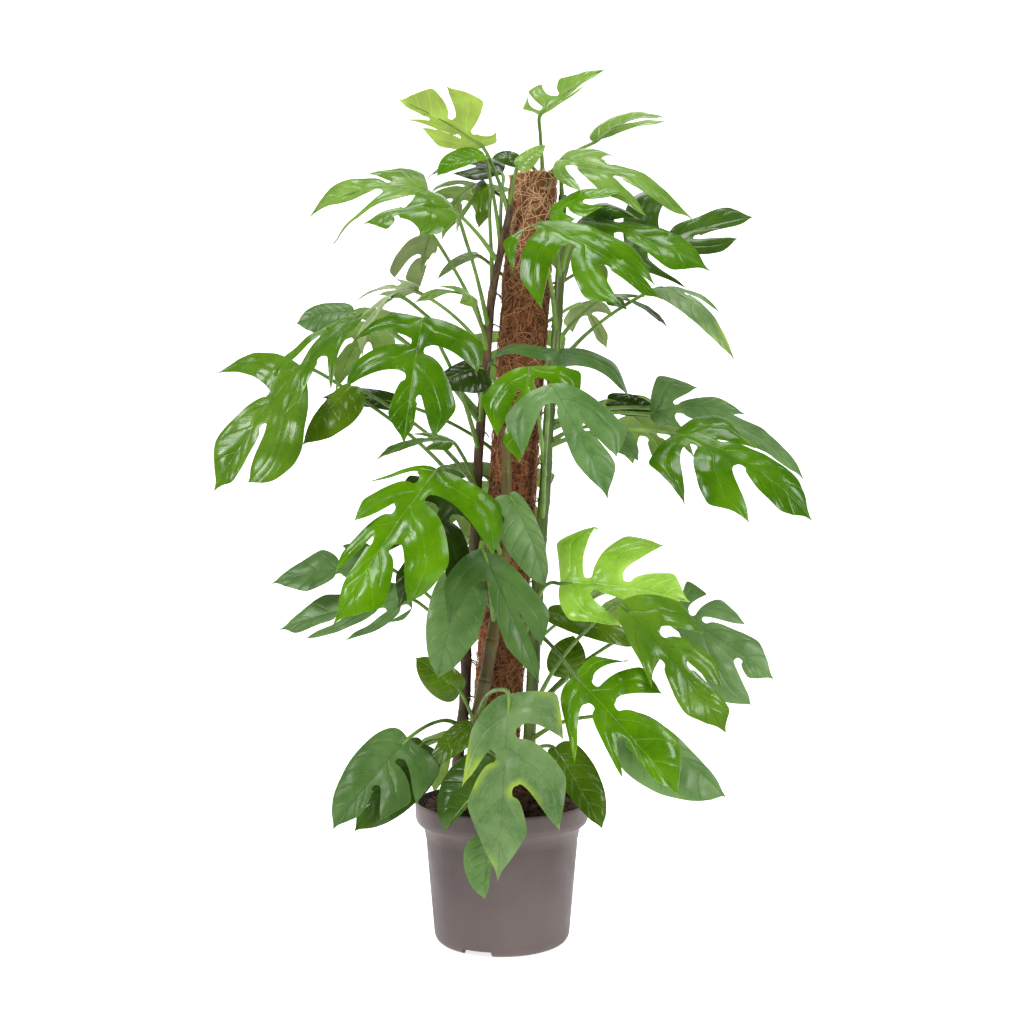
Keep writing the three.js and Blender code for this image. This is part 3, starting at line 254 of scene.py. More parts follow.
BACK_LEAVES += [
    ("back_bottom", "back", "mid", (-50, 120, 210), (-84, 170, 125), (-0.3, 0.75, 0.5), 0.12,
     [(0.46, 0.38)], [(0.46, 0.4)]),
    ("crown_new", "back", "pale", (40, -15, 900), (110, -30, 946), (-0.3, -0.75, 0.5), 0.04,
     [(0.01, 0.45, 0.06, -0.14, 0.33), (0.25, 0.35, 0.33, 0.04, 0.42), (0.47, 0.27)],
     [(0.68, 0.13, 0.32, 0.41, 0.13), (0.85, 0.05)], dict(droop=0.3)),
    # right_shade and left_shade fill gaps behind the crown; their near-black finish is painted shade.
    ("right_shade", "back", "dark", (117, 8, 592), (176, 10, 578), (0, -0.85, 0.5), 0.06, 0.3, 0.42),
    ("left_shade", "back", "dark", (-109, 12, 588), (-197, 4, 596), (0, -0.85, 0.5), 0.06, 0.22, 0.2),
    ("upper_curl", "back", "grey", (-27, 20, 754), (-72, 22, 728), (0, -0.8, 0.5), 0.12, 0.12, 0.25,
     dict(start=700)),
    ("crown_centre_curl", "back", "dark", (20, -8, 854), (-10, -14, 854), (0, -0.8, 0.5), 0.1, 0.65, 0.51,
     dict(droop=1.1)),
    ("crown_right_back", "back", "pale", (104, 40, 886), (182, 50, 916), (-0.1, -0.5, 0.85), 0.12, 0.5,
     [(0.86, 0.5, 0.42, 0.6, 0.46), (0.75, 0.15)], dict(droop=0.5)),
    ("upper_right_back", "back", "dark", (140, 45, 762), (280, 35, 800), (0.1, -0.85, 0.4), 0.04,
     [(0.39, 0.34, 0.35, 0.27, 0.76), (0.85, 0.13)],
     [(0.37, 0.51, 0.19, 0.13, 0.27, -0.04), (0.83, 0.21, 0.55, 0.69, 0.28), (0.94, 0.05)]),
    ("right_pale_behind", "back", "pale", (90, 70, 708), (122, 100, 660), (0.2, 0.7, 0.55), 0.1,
     [(0.46, 0.45)], [(0.46, 0.45)]),
]


# ---- hand tools -----------------------------------------------------------------------------------
def deselect_all():
    bpy.ops.object.select_all(action="DESELECT")


def make_active(piece):
    deselect_all()
    piece.select_set(True)
    bpy.context.view_layer.objects.active = piece


def apply_modifier(piece, kind, **settings):
    """Adds a modifier with its settings and applies it."""
    make_active(piece)
    modifier = piece.modifiers.new(kind, kind)
    for key, value in settings.items():
        setattr(modifier, key, value)
    bpy.ops.object.modifier_apply(modifier=modifier.name)


def put(name, data):
    """A new object in the scene."""
    thing = bpy.data.objects.new(name, data)
    bpy.context.scene.collection.objects.link(thing)
    return thing


def mesh_piece(name, points_mm, faces, edges=()):
    """A mesh object from points in millimetres."""
    mesh = bpy.data.meshes.new(name)
    mesh.from_pydata([tuple(p) for p in np.asarray(points_mm, float) * MM], list(edges), faces)
    mesh.update()
    return put(name, mesh)


def join(first, second, name):
    """Two pieces as one."""
    make_active(first)
    second.select_set(True)
    bpy.ops.object.join()
    first.name = name
    first.data.name = name
    return first


def smooth(piece, angle):
    """Shaded smooth where faces meet at less than the angle in degrees."""
    make_active(piece)
    bpy.ops.object.shade_smooth_by_angle(angle=math.radians(angle))


def seat(piece, node):
    """The piece rides on the plant's one body and stands for a solid."""
    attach(piece, "root")
    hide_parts(node)


def store(piece, name, values):
    """One number for each vertex, for the materials to read."""
    layer = piece.data.attributes.new(name, "FLOAT", "POINT")
    layer.data.foreach_set("value", np.asarray(values, np.float32))


def wobble(seed, draw):
    """A fixed random draw between -1 and 1."""
    wave = math.sin(seed * 12.9898 + draw * 78.233) * 43758.5453
    return 2 * (wave - math.floor(wave)) - 1


def chance(seed, draw):
    """The same draw between 0 and 1."""
    return 0.5 + 0.5 * wobble(seed, draw)


def polar(radius, turn):
    return radius * math.cos(turn), radius * math.sin(turn)


def around(radius, sides):
    """Places evenly round a circle."""
    return [polar(radius, 2 * math.pi * s / sides) for s in range(sides)]


def bell(distance, width):
    return np.exp(-(distance / width) ** 2)


# ---- curves and round bars ------------------------------------------------------------------------
def smooth_curve(points, count):
    """Evenly spaced points along a smooth curve through the given ones."""
    p = np.asarray(points, float)
    full = np.vstack([2 * p[0] - p[1], p, 2 * p[-1] - p[-2]])
    fine = []
    for i in range(len(p) - 1):
        p0, p1, p2, p3 = full[i:i + 4]
        d0, d1, d2 = (max(np.sqrt(norm(b - a)), 1e-4) for a, b in ((p0, p1), (p1, p2), (p2, p3)))
        t1 = ((p1 - p0) / d0 - (p2 - p0) / (d0 + d1) + (p2 - p1) / d1) * d1
        t2 = ((p2 - p1) / d1 - (p3 - p1) / (d1 + d2) + (p3 - p2) / d2) * d1
        for t in np.linspace(0, 1, 25)[:-1]:
            bent = (3 * (p2 - p1) - 2 * t1 - t2) * t * t
            fine.append(p1 + t1 * t + bent + (2 * (p1 - p2) + t1 + t2) * t ** 3)
    return even(np.vstack([fine, p[-1:]]), count)


def even(line, count):
    """The same line with evenly spaced points."""
    gaps = norm(np.diff(line, axis=0), axis=1)
    far = np.concatenate([[0], np.cumsum(gaps)])
    want = np.linspace(0, far[-1], count)
    return np.stack([np.interp(want, far, line[:, k]) for k in range(line.shape[1])], 1)


def band_faces(start, sides, turned=False):
    """The faces between the ring of points that begins at start and the next ring."""
    faces = []
    for s in range(sides):
        a, b = start + s, start + (s + 1) % sides
        faces.append((a, a + sides, b + sides, b) if turned else (a, b, b + sides, a + sides))
    return faces


def round_bar(line, radii, sides):
    """Points and faces of a closed bar round a line."""
    line = np.asarray(line, float)
    ahead = np.gradient(line, axis=0)
    ahead /= norm(ahead, axis=1)[:, None]
    out = np.cross(ahead[0], UP if abs(ahead[0][2]) < 0.9 else np.array([1.0, 0, 0]))
    turn = np.linspace(0, 2 * math.pi, sides, endpoint=False)[:, None]
    rings, faces = [], []
    for here, way, radius in zip(line, ahead, radii):
        out = out - way * out.dot(way)
        out /= norm(out)
        rings.append(here + radius * (np.cos(turn) * out + np.sin(turn) * np.cross(way, out)))
    for i in range(len(line) - 1):
        faces += band_faces(i * sides, sides)
    last = (len(line) - 1) * sides
    return np.vstack(rings), faces + [tuple(range(sides))[::-1], tuple(range(last, last + sides))]


def bundle(bars):
    """Several bars as one set of points and faces, and which bar each point belongs to."""
    points, faces, which, start = [], [], [], 0
    for n, (p, f) in enumerate(bars):
        points.append(p)
        faces += [tuple(v + start for v in face) for face in f]
        which += [n] * len(p)
        start += len(p)
    return np.vstack(points), faces, np.array(which)


# ---- stems ----------------------------------------------------------------------------------------
def pole_x(height):
    """How far right the leaning pole's middle is at this height."""
    return POLE["foot_x"] + (height - POLE["foot_z"]) * POLE["lean"]


def stem_line(places):
    return smooth_curve([(pole_x(z) + across, depth, z) for z, across, depth in places], STEM_POINTS)


STEM_LINES = {name: stem_line(places) for name, places in VINES.items()}


def stem_point(stem, height):
    """The place on a stem's middle line nearly at this height."""
    foot, head = VINES[stem][0][0], VINES[stem][-1][0]
    reach = min(max((height - foot) / (head - foot), 0.02), 0.985)
    return STEM_LINES[stem][int(round(reach * (STEM_POINTS - 1)))]


# ---- leaf shape -----------------------------------------------------------------------------------
def leaf_of(row):
    """A leaf's row as named values, with the three directions of its blade."""
    name, stem, tone, base, tip, face, arch, left, right = row[:9]
    leaf = dict(name=name, stem=stem, tone=tone, arch=arch, left=left, right=right, droop=0.75, fold=0.2)
    leaf.update(row[9] if len(row) > 9 else {})
    base, tip = np.array(base, float), np.array(tip, float)
    leaf["size"] = norm(tip - base)
    leaf["base"] = base
    leaf["along"] = (tip - base) / leaf["size"]
    face = np.array(face, float)
    face -= leaf["along"] * face.dot(leaf["along"])
    leaf["face"] = face / norm(face)
    leaf["across"] = np.cross(leaf["face"], leaf["along"])
    leaf["seed"] = base[0] + 2 * base[2]
    return leaf


def place(leaf, u, v, lift=0):
    """Where the blade lies in space: u along the midrib, v out from it and lift off its face, in shares of
    the leaf's length."""
    u, v, lift = np.broadcast_arrays(np.asarray(u, float), v, lift)
    side = np.abs(v)
    height = 4 * leaf["arch"] * u * (1 - u) + leaf["fold"] * side - leaf["droop"] * side ** 2 + lift
    out = v * (1 - 0.25 * side * leaf["droop"])
    u, out, height = u[..., None], out[..., None], height[..., None]
    return leaf["base"] + leaf["size"] * (u * leaf["along"] + out * leaf["across"] + height * leaf["face"])


def bezier(a, b, c, d, t):
    a, b, c, d = (np.asarray(p, float) for p in (a, b, c, d))
    t = np.asarray(t)[:, None]
    s = 1 - t
    return s ** 3 * a + 3 * s * s * t * b + 3 * s * t * t * c + t ** 3 * d


def through_shoulder(a, s, d, t, full=0.0):
    """A curve from a to its shoulder s, and then on to d: straight where full is 0, hollow where less."""
    a, s, d = (np.asarray(p, float) for p in (a, s, d))
    early = np.array([a[0] + 0.15 * (s[0] - a[0]) - 0.03, a[1] + 0.45 * (s[1] - a[1])])
    late = early + 0.6 * (s - early)
    third, two_thirds = (s + share * (d - s) + full * (s - a) for share in (1 / 3, 2 / 3))
    first = bezier(a, early, late, s, np.clip(t / SHOULDER_AT, 0, 1))
    second = bezier(s, third, two_thirds, d, np.clip((t - SHOULDER_AT) / (1 - SHOULDER_AT), 0, 1))
    line = np.where(t[:, None] <= SHOULDER_AT, first, second)
    low, high = SHOULDER_POINTS
    for _ in range(SHOULDER_PASSES):
        line[low:high] = (line[low - 1:high - 1] + 2 * line[low:high] + line[low + 1:high + 1]) / 4
    return line


def lobes_of(side):
    """The lobes on one side: the curves of both edges out to the point, and where its splits are."""
    t = np.linspace(0, 1, EDGE_POINTS)
    if not isinstance(side, (list, tuple)):
        whole = bezier((0, 0), (-0.18, 0.95 * side), (0.76, 0.9 * side), (1, 0), t)
        return [dict(near=whole, last=True, start=0.0)]
    rows = [lobe for k, lobe in enumerate(side) if k == 0 or len(lobe) > 2 or k < len(side) - 1]
    lobes, start = [], 0.0
    for k, row in enumerate(rows):
        along, out = tip = row[:2]
        split, high, wide, full = row[2:] + (0.7 * along, along - 0.28, 1.1 * out, 0.015)[len(row) - 2:]
        near = (start + SPLIT_HALF, SPLIT_END + 0.02) if k else (0, 0)
        far = (split - SPLIT_HALF, SPLIT_END + 0.02)
        lobes.append(dict(
            near=through_shoulder(near, (high, wide), tip, t, full), last=False, start=start, split=split,
            far=bezier(far, (split - 0.09, 0.34 * out), (along - 0.06, 0.74 * out), tip, t)))
        start = split
    end = side[-1] if len(side) > len(rows) else (0.8, 0.12)
    near = (start + SPLIT_HALF, SPLIT_END + 0.01)
    return lobes + [dict(near=through_shoulder(near, end, (1, 0), t), last=True, start=start)]


def pointed(curve, lobe_middle, reach, drip):
    """The curve drawn in towards its lobe's axis near the point, and out into a small drip tip."""
    tip = curve[-1]
    axis = tip - lobe_middle
    axis /= norm(axis)
    side = np.array([-axis[1], axis[0]])
    gap = curve - tip
    far = np.clip(norm(gap, axis=1) / reach, 0, 1)
    ease = far * far * (3 - 2 * far)
    cross = (gap @ side) * (0.45 + 0.55 * ease)
    along = (gap @ axis) + drip * (1 - far) ** 2
    return tip + np.outer(along, axis) + np.outer(cross, side)


def sharpen(lobes):
    """Every lobe ends in a point, as the grown ones do."""
    for lobe in lobes:
        near = lobe["near"]
        if lobe["last"]:
            lobe["near"] = pointed(near, np.array([0.6, 0.0]), 0.14, 0.012)
            continue
        far = lobe["far"]
        middle = 0.5 * (near[LOBE_MIDDLE] + far[LOBE_MIDDLE])
        reach = 0.36 * norm(far[-1] - middle)
        lobe["near"] = pointed(near, middle, reach, 0.004)
        lobe["far"] = pointed(far, middle, reach, 0.004)
    return lobes


def stepped(line, step):
    """The line with points about one step apart, keeping its ends."""
    length = norm(np.diff(line, axis=0), axis=1).sum()
    return even(line, max(int(round(length / step)) + 1, 3))


def side_outline(lobes, step):
    """One side's outline from the stalk to the tip, with round split ends."""
    pieces = []
    for k, lobe in enumerate(lobes):
        pieces.append(stepped(lobe["near"], step))
        if lobe["last"]:
            break
        pieces.append(stepped(lobe["far"][::-1], step))
        split, following = lobe["split"], lobes[k + 1]["near"][0]
        deep = SPLIT_END - 0.012
        pieces.append(bezier(lobe["far"][0], (split - SPLIT_HALF, deep), (split + SPLIT_HALF, deep),
                             following, np.linspace(0, 1, 7)))
    points = [pieces[0][0]]
    for piece in pieces:
        points += list(piece[1:])
    return np.array(points)


def vein_line(lobe):
    """A lobe's vein: out of the midrib, then along the lobe's middle nearly to its point."""
    middle = 0.5 * (lobe["near"] + lobe["far"])
    middle = middle[6:int(0.93 * EDGE_POINTS)]
    root = np.array([max(middle[0][0] - 0.6 * middle[0][1] - 0.02, 0.01), 0.0])
    return np.vstack([root, middle])


def open_veins(lobe):
    """The veins of an end lobe or an unsplit side, which leave the midrib at a slant."""
    along, out = lobe["near"].T
    steady = np.all(np.diff(along) > 0)
    span = 1 - lobe["start"]
    count = 5 if lobe["start"] == 0 else 3
    lines = []
    for n in range(count):
        u = lobe["start"] + span * (0.08 + 0.78 * n / count)
        at = u + 0.14 * span
        wide = 0.86 * (np.interp(at, along, out) if steady else out[np.abs(along - at).argmin()])
        if wide > 0.05:
            lines.append(bezier((u, 0), (u + 0.05, 0.4 * wide), (u + 0.1, 0.75 * wide), (u + 0.17, wide),
                                np.linspace(0, 1, 9)))
    return lines


def far_from(points, line):
    """Distance from each point to a line of short straight pieces, and the side that it is on."""
    a, b = line[:-1][None], line[1:][None]
    p = points[:, None]
    way = b - a
    reach = np.clip(((p - a) * way).sum(-1) / np.maximum((way ** 2).sum(-1), 1e-12), 0, 1)
    gap = p - (a + reach[..., None] * way)
    far = norm(gap, axis=-1)
    nearest = far.argmin(1)
    rows = np.arange(len(points))
    turn = way[0][nearest, 0] * gap[rows, nearest, 1] - way[0][nearest, 1] * gap[rows, nearest, 0]
    return far[rows, nearest], np.sign(turn)


def inside(points, ring):
    """Which points lie inside a closed ring."""
    x, y = points[:, 0:1], points[:, 1:2]
    x1, y1 = ring[:, 0][None], ring[:, 1][None]
    x2, y2 = np.roll(ring[:, 0], -1)[None], np.roll(ring[:, 1], -1)[None]
    rise = np.where(np.abs(y2 - y1) < 1e-12, 1e-12, y2 - y1)
    crossing = ((y1 > y) != (y2 > y)) & (x < (x2 - x1) * (y - y1) / rise + x1)
    return crossing.sum(1) % 2 == 1


def closed(ring):
    return np.vstack([ring, ring[:1]])


def veins_of(sides):
    """Every vein of both sides, as a flat line."""
    veins = []
    for mirror, lobes in zip(MIRROR, sides):
        for lobe in lobes:
            veins += [line * mirror for line in (open_veins(lobe) if lobe["last"] else [vein_line(lobe)])]
    return veins


def inner_points(ring, veins, step):
    """Evenly spaced points inside the outline, clear of its edge, of the midrib and of the veins."""
    low, high = ring.min(0), ring.max(0)
    rows = enumerate(np.arange(low[1], high[1], step * 0.87))
    columns = np.arange(low[0], high[0], step)
    grid = np.array([(u + 0.5 * step * (n % 2), v) for n, v in rows for u in columns])
    grid = grid[inside(grid, ring)]
    grid = grid[far_from(grid, closed(ring))[0] > 0.5 * step]
    grid = grid[np.abs(grid[:, 1]) > 0.45 * step]
    for line in veins:
        grid = grid[far_from(grid, line)[0] > 0.42 * step]
    return grid


def flat_net(ring, veins, step):
    """The flat blade's points and triangles, with edges along its outline, its midrib and its veins."""
    count = int(1 / step) + 2
    midrib = np.stack([np.linspace(0, 1, count), np.zeros(count)], 1)
    veins = [stepped(line, step) for line in veins]
    points, edges = [tuple(p) for p in ring], []
    for line in [midrib] + veins:
        start = len(points)
        points += [tuple(p) for p in line]
        edges += [(start + k, start + k + 1) for k in range(len(line) - 1)]
    points += [tuple(p) for p in inner_points(ring, veins, step)]
    edges += [(k, (k + 1) % len(ring)) for k in range(len(ring))]
    flat, _, faces, _, _, _ = delaunay_2d_cdt([Vector(p) for p in points], edges, [], 0, 1e-6, False)
    flat, faces = np.array([tuple(p) for p in flat]), np.array([tuple(f) for f in faces])
    return flat, faces[inside(flat[faces].mean(1), ring)]


def shape_lobes(leaf, sides, flat):
    """Each point's lift, as its lobe rises to its tip and falls off its vein, and its distance off that."""
    lift = np.zeros(len(flat))
    stripe = (flat[:, 0] - 0.55 * np.abs(flat[:, 1])) * leaf["size"]
    for half, (mirror, lobes) in enumerate(zip(MIRROR, sides)):
        for k, lobe in enumerate(lobes[:-1]):
            body = np.vstack([lobe["near"], lobe["far"][::-1]]) * mirror
            grown = body.mean(0) + (body - body.mean(0)) * 1.004
            mine = inside(flat, grown) & (flat[:, 1] * mirror[1] > SPLIT_END)
            root = 0.5 * (lobe["near"][0] + lobe["far"][0]) * mirror
            axis = lobe["near"][-1] * mirror - root
            t = np.clip(((flat - root) * axis).sum(1) / (axis ** 2).sum(), 0, 1)
            gap, turn = far_from(flat, vein_line(lobe) * mirror)
            raised = 0.09 * wobble(leaf["seed"], 7 * half + k) * t ** 2
            fall = -0.55 * np.minimum(gap, 0.12) ** 2 * np.minimum(t * 4, 1)
            lift = np.where(mine, raised + fall, lift)
            stripe = np.where(mine, gap * turn * leaf["size"], stripe)
    return lift, stripe


def blade_net(leaf):
    """The flat blade: its points and triangles, each point's lift off it, and marks for the materials."""
    size = leaf["size"]
    step = BLADE["mesh_step"] / size
    sides = [sharpen(lobes_of(leaf["left"])), sharpen(lobes_of(leaf["right"]))]
    left, right = (side_outline(lobes, step) for lobes in sides)
    ring = np.vstack([left, right[1:-1][::-1] * MIRROR[1]])
    veins = veins_of(sides)
    flat, faces = flat_net(ring, veins, step)
    lift, stripe = shape_lobes(leaf, sides, flat)
    rib = np.abs(flat[:, 1]) * size
    rim = far_from(flat, closed(ring))[0] * size
    vein = np.full(len(flat), VEIN_REACH)
    for line in veins:
        vein = np.minimum(vein, far_from(flat, line)[0] * size)
    long, wide = BLADE["wave_long"], BLADE["wave_wide"]
    wave = [noise.noise(Vector((u * size / long, v * size / wide, leaf["seed"]))) for u, v in flat]
    rolled = BLADE["rim_fall"] / size * np.exp(-(rim / BLADE["rim_width"])) * min(size / 90, 1)
    fields = np.abs(np.sin(stripe * math.pi / BLADE["field_width"])) - 0.5
    fields *= np.clip((np.abs(flat[:, 1]) - SPLIT_END) / 0.05, 0, 1) * np.clip(rim / 6, 0, 1)
    rib_groove = BLADE["rib_groove"] / size * bell(rib, BLADE["rib_width"])
    vein_groove = BLADE["vein_groove"] / size * bell(vein, BLADE["vein_width"]) * np.clip(rib / 3, 0, 1)
    lift += BLADE["wave"] / size * np.array(wave) - rolled
    lift += BLADE["field"] / size * fields
    lift -= rib_groove + vein_groove
    faces = [tuple(map(int, face)) for face in faces]
    return flat, faces, lift, dict(rib=flat[:, 1] * size, vein=vein, stripe=stripe, rim=rim)


def stalk_route(leaf):
    """The stalk leaves the stem at a slant and ends under the blade's midrib."""
    base = leaf["base"]
    sideways = math.hypot(base[0] - pole_x(base[2]), base[1])
    start = stem_point(leaf["stem"], max(leaf.get("start", base[2] - 0.62 * sideways), SOIL["crown"] + 14))
    reach = norm(base - start)
    bow = leaf.get("bow", 0.07)

    def bend(share, rise):
        return start + (base - start) * share + UP * rise * reach

    def under(u):
        return place(leaf, u, 0.0) - (0.75 * STALK_RADIUS + 3 * u) * leaf["face"]
    return [start, bend(0.3, bow), bend(0.65, bow * 0.9), under(0.01), under(0.14)]


def stalk_bars(leaf):
    """Stalk with its sheath at the foot and its knee under the blade, and then the rib below the blade."""
    count = 34
    t = np.linspace(0, 1, count)
    sheath = 1.35 - 0.45 * np.clip(t / 0.4, 0, 1)
    knee = 0.16 * bell(t - 0.9, 0.035)
    end = np.where(t > 0.93, 1 - 0.45 * (t - 0.93) / 0.07, 1)
    line = smooth_curve(stalk_route(leaf), count)
    stalk = round_bar(line, STALK_RADIUS * (sheath + knee) * end * 0.95, 12)
    u = np.linspace(0.1, 0.97, 26)
    thick = 1.25 * (1 - 0.8 * u)
    rib = round_bar(place(leaf, u, 0.0) - (0.75 + 0.9 * thick)[:, None] * leaf["face"], thick, 8)
    return [stalk, rib]


def leaf_piece(leaf, finishes):
    """One leaf: a thin blade with its upper and lower face, and its stalk."""
    flat, faces, lift, marks = blade_net(leaf)
    blade = mesh_piece("leaf_" + leaf["name"] + "_look", place(leaf, flat[:, 0], flat[:, 1], lift), faces)
    for key, values in marks.items():
        store(blade, key, values)
    upper, under = finishes[LOOK_OF.get(leaf["name"], leaf["tone"])]
    for finish in (upper, under, finishes["stalk"]):
        blade.data.materials.append(finish)
    apply_modifier(blade, "SOLIDIFY", thickness=BLADE["thickness"] * MM, offset=0.0, material_offset=1,
                   material_offset_rim=0, use_even_offset=False)
    points, bar_faces, _ = bundle(stalk_bars(leaf))
    stalk = mesh_piece("stalk", points, bar_faces)
    stalk.data.materials.append(finishes["stalk"])
    leaf_with_stalk = join(blade, stalk, blade.name)
    smooth(leaf_with_stalk, 60)
    return leaf_with_stalk


# ---- finishes -------------------------------------------------------------------------------------
class Finish:
    """A material of nodes: colours laid over each other, relief, and then the shader."""

    def __init__(self, name, roughness, specular):
        self.material = bpy.data.materials.new(name)
        self.material.use_nodes = True
        self.tree = self.material.node_tree
        self.shader = self.tree.nodes["Principled BSDF"]
        self.shader.inputs["Roughness"].default_value = roughness
        self.shader.inputs["Specular IOR Level"].default_value = specular
        self.color = None
        self.normal = None

    def node(self, kind, inputs=(), **settings):
        node = self.tree.nodes.new(kind)
        for key, value in settings.items():
            setattr(node, key, value)
        for key, value in dict(inputs).items():
            self.feed(node.inputs[key], value)
        return node

    def feed(self, socket, value):
        if isinstance(value, bpy.types.NodeSocket):
            self.tree.links.new(value, socket)
        else:
            socket.default_value = value

    def place(self):
        return self.node("ShaderNodeTexCoord").outputs["Object"]

    def height(self):
        return self.node("ShaderNodeSeparateXYZ", {"Vector": self.place()}).outputs["Z"]

    def mark(self, name):
        return self.node("ShaderNodeAttribute", attribute_name=name).outputs["Fac"]

    def math(self, operation, *values):
        return self.node("ShaderNodeMath", dict(enumerate(values)), operation=operation).outputs[0]

    def times(self, first, second):
        return self.math("MULTIPLY", first, second)

    def noise(self, scale, detail=3, rough=0.5, stretch=None):
        place = self.place()
        if stretch:
            place = self.node("ShaderNodeMapping", {"Vector": place, "Scale": stretch}).outputs[0]
        inputs = {"Vector": place, "Scale": scale, "Detail": detail, "Roughness": rough}
        return self.node("ShaderNodeTexNoise", inputs).outputs["Fac"]

    def cells(self, scale):
        inputs = {"Vector": self.place(), "Scale": scale}
        return self.node("ShaderNodeTexVoronoi", inputs).outputs["Distance"]

    def span(self, value, low, high, new_low=0.0, new_high=1.0):
        """The value's range from low to high spread over the new one, and held at its ends."""
        ends = {"Value": value, "From Min": low, "From Max": high, "To Min": new_low, "To Max": new_high}
        return self.node("ShaderNodeMapRange", ends, interpolation_type="SMOOTHSTEP").outputs[0]

    def coat(self, share, color, under=None):
        """A colour over the ones that are there already, or over a first one."""
        under = self.color if under is None else under
        self.color = self.node("ShaderNodeMix", data_type="RGBA").outputs[2]
        for key, value in ((0, share), (6, under), (7, color)):
            self.feed(self.color.node.inputs[key], value)

    def relief(self, height, depth_mm, strength):
        """Small relief, laid over what is there already."""
        inputs = {"Height": height, "Distance": depth_mm * MM, "Strength": strength}
        if self.normal:
            inputs["Normal"] = self.normal
        self.normal = self.node("ShaderNodeBump", inputs).outputs[0]

    def done(self, roughness=None):
        self.feed(self.shader.inputs["Base Color"], self.color)
        self.feed(self.shader.inputs["Normal"], self.normal)
        if roughness is not None:
            self.feed(self.shader.inputs["Roughness"], roughness)
        return self.material


def paint(red, green, blue, share=1.0):
    """A colour given as it is seen, 0 to 255, for the shader."""
    return tuple(((c / 255 * share + 0.055) / 1.055) ** 2.4 for c in (red, green, blue)) + (1.0,)


# Each tone: upper face dark and light, its margin, and the underside.
LEAF_TONES = {
    "pale": ((132, 166, 38), (182, 208, 84), (192, 214, 98), (168, 196, 84)),
    "bright": ((48, 90, 0), (90, 138, 4), (124, 164, 30), (112, 146, 36)),
    "mid": ((50, 88, 6), (90, 128, 28), (114, 148, 44), (106, 136, 50)),
    "light": ((78, 114, 30), (126, 158, 74), (148, 176, 84), (124, 152, 74)),
    "blue": ((42, 76, 20), (82, 116, 52), (106, 138, 50), (100, 130, 62)),
    "mist": ((58, 94, 36), (104, 138, 76), (122, 152, 66), (108, 138, 70)),
    "sage": ((58, 92, 40), (116, 144, 88), (158, 182, 50), (124, 152, 80)),
    "deep": ((36, 74, 0), (78, 122, 4), (108, 146, 24), (104, 138, 36)),
    "fresh": ((98, 148, 18), (160, 200, 82), (176, 210, 100), (140, 176, 66)),
    # The shade tone is painted shade: a near-black green for leaves that sit in the crown's shadow.
    "shade": ((18, 32, 0), (40, 62, 10), (66, 92, 26), (58, 84, 24)),
    "dark": ((32, 56, 6), (64, 94, 28), (90, 120, 44), (84, 114, 46)),
    "olive": ((48, 78, 2), (84, 114, 18), (110, 138, 36), (106, 134, 44)),
    "grey": ((98, 118, 64), (148, 164, 110), (152, 168, 98), (138, 156, 98)),
}
WAXY = ("blue", "mist", "sage", "grey")
YELLOW_EDGED = ("sage", "fresh")
# Tones whose veins and midrib get a darker line: partly the veins' own colour, partly painted shade in
# their grooves.
GROOVE_SHADED = ("blue", "mist", "sage", "grey", "dark", "mid")

# The leaves whose finish differs from the others of their tone, by finish.
LOOKS = {
    "mist": ("left_low_upper", "left_low_back", "right_tip_behind", "right_low_small", "centre_grey",
             "bottom_hanging", "right_low_back", "centre_blue", "hanging_companion", "right_blue",
             "right_low_blue"),
    "blue": ("left_shoulder",),
    "olive": ("right_low_shade", "bottom_right", "bottom_inner", "upper_left_low"),
    # These leaves sit in the crown's shadow and get the painted shade tone.
    "shade": ("left_inner_dark", "left_low_dark", "upper_left_inner", "right_shade", "left_shade"),
    "fresh": ("right_low_bright",),
    "deep": ("right_front", "upper_right_mid", "left_front", "upper_right_front"),
    "light": ("crown_right_long", "upper_left_long", "left_inner_top", "crown_inner", "crown_right_back",
              "crown_new"),
    "sage": ("right_edge_on",),
    "grey": ("right_pale_behind", "left_shoulder_back"),
    "dark": ("bottom_left_under", "bottom_dark"),
}
LOOK_OF = {name: look for look, names in LOOKS.items() for name in names}


def ripples(f):
    """Fine wavy rows across a blade, between its veins."""
    wavy = f.math("ADD", f.mark("stripe"), f.times(f.noise(120, 2), 1.6))
    return f.span(f.math("SINE", f.times(wavy, 2.6)), 0.2, 1.0)


def leaf_upper(tone):
    """Patchy green with ripples, lines on its veins and margin, the darker vein lines partly painted shade
    in their grooves, and a broken sheen.
    """
    dark, light, margin, _ = (paint(*c) for c in LEAF_TONES[tone])
    waxy = tone in WAXY
    f = Finish("leaf_" + tone + "_upper", 0.42 if waxy else 0.3, 0.3 if waxy else 0.22)
    rib, vein, rim = f.math("ABSOLUTE", f.mark("rib")), f.mark("vein"), f.mark("rim")
    patches = f.span(f.noise(22, 4, 0.6), 0.3, 0.7)
    f.coat(f.math("ADD", f.times(patches, 0.65), f.times(f.mark("shade"), 0.35)), light, under=dark)
    f.coat(f.span(f.noise(420, 2), 0.35, 0.75, 0.0, 0.22), light)
    rows = ripples(f)
    f.coat(f.times(rows, 0.05), light)
    # On the groove-shaded tones the vein and midrib line is darker, partly painted shade in the grooves; on
    # the rest it has the margin's colour.
    line = paint(*LEAF_TONES[tone][0], 0.86) if tone in GROOVE_SHADED else margin
    f.coat(f.span(vein, 0.15, 0.9, 0.22, 0.0), line)
    f.coat(f.span(rib, 0.15, 0.9, 0.3, 0.0), line)
    f.coat(f.span(rim, 0.05, 0.5, 0.22, 0.0), margin)
    if tone in YELLOW_EDGED:
        f.coat(f.times(f.span(rim, 0.3, 8.0, 0.6, 0.0), f.span(f.noise(16), 0.5, 0.66)), margin)
    f.relief(f.times(f.span(vein, 0.0, 1.6), f.span(rib, 0.0, 1.8)), 0.6, 0.6)
    f.relief(rows, 0.08, 0.35)
    f.relief(f.noise(210), 0.3, 0.5)
    low = 0.34 if waxy else 0.15
    return f.done(f.span(f.noise(60), 0.3, 0.75, low, low + 0.16))


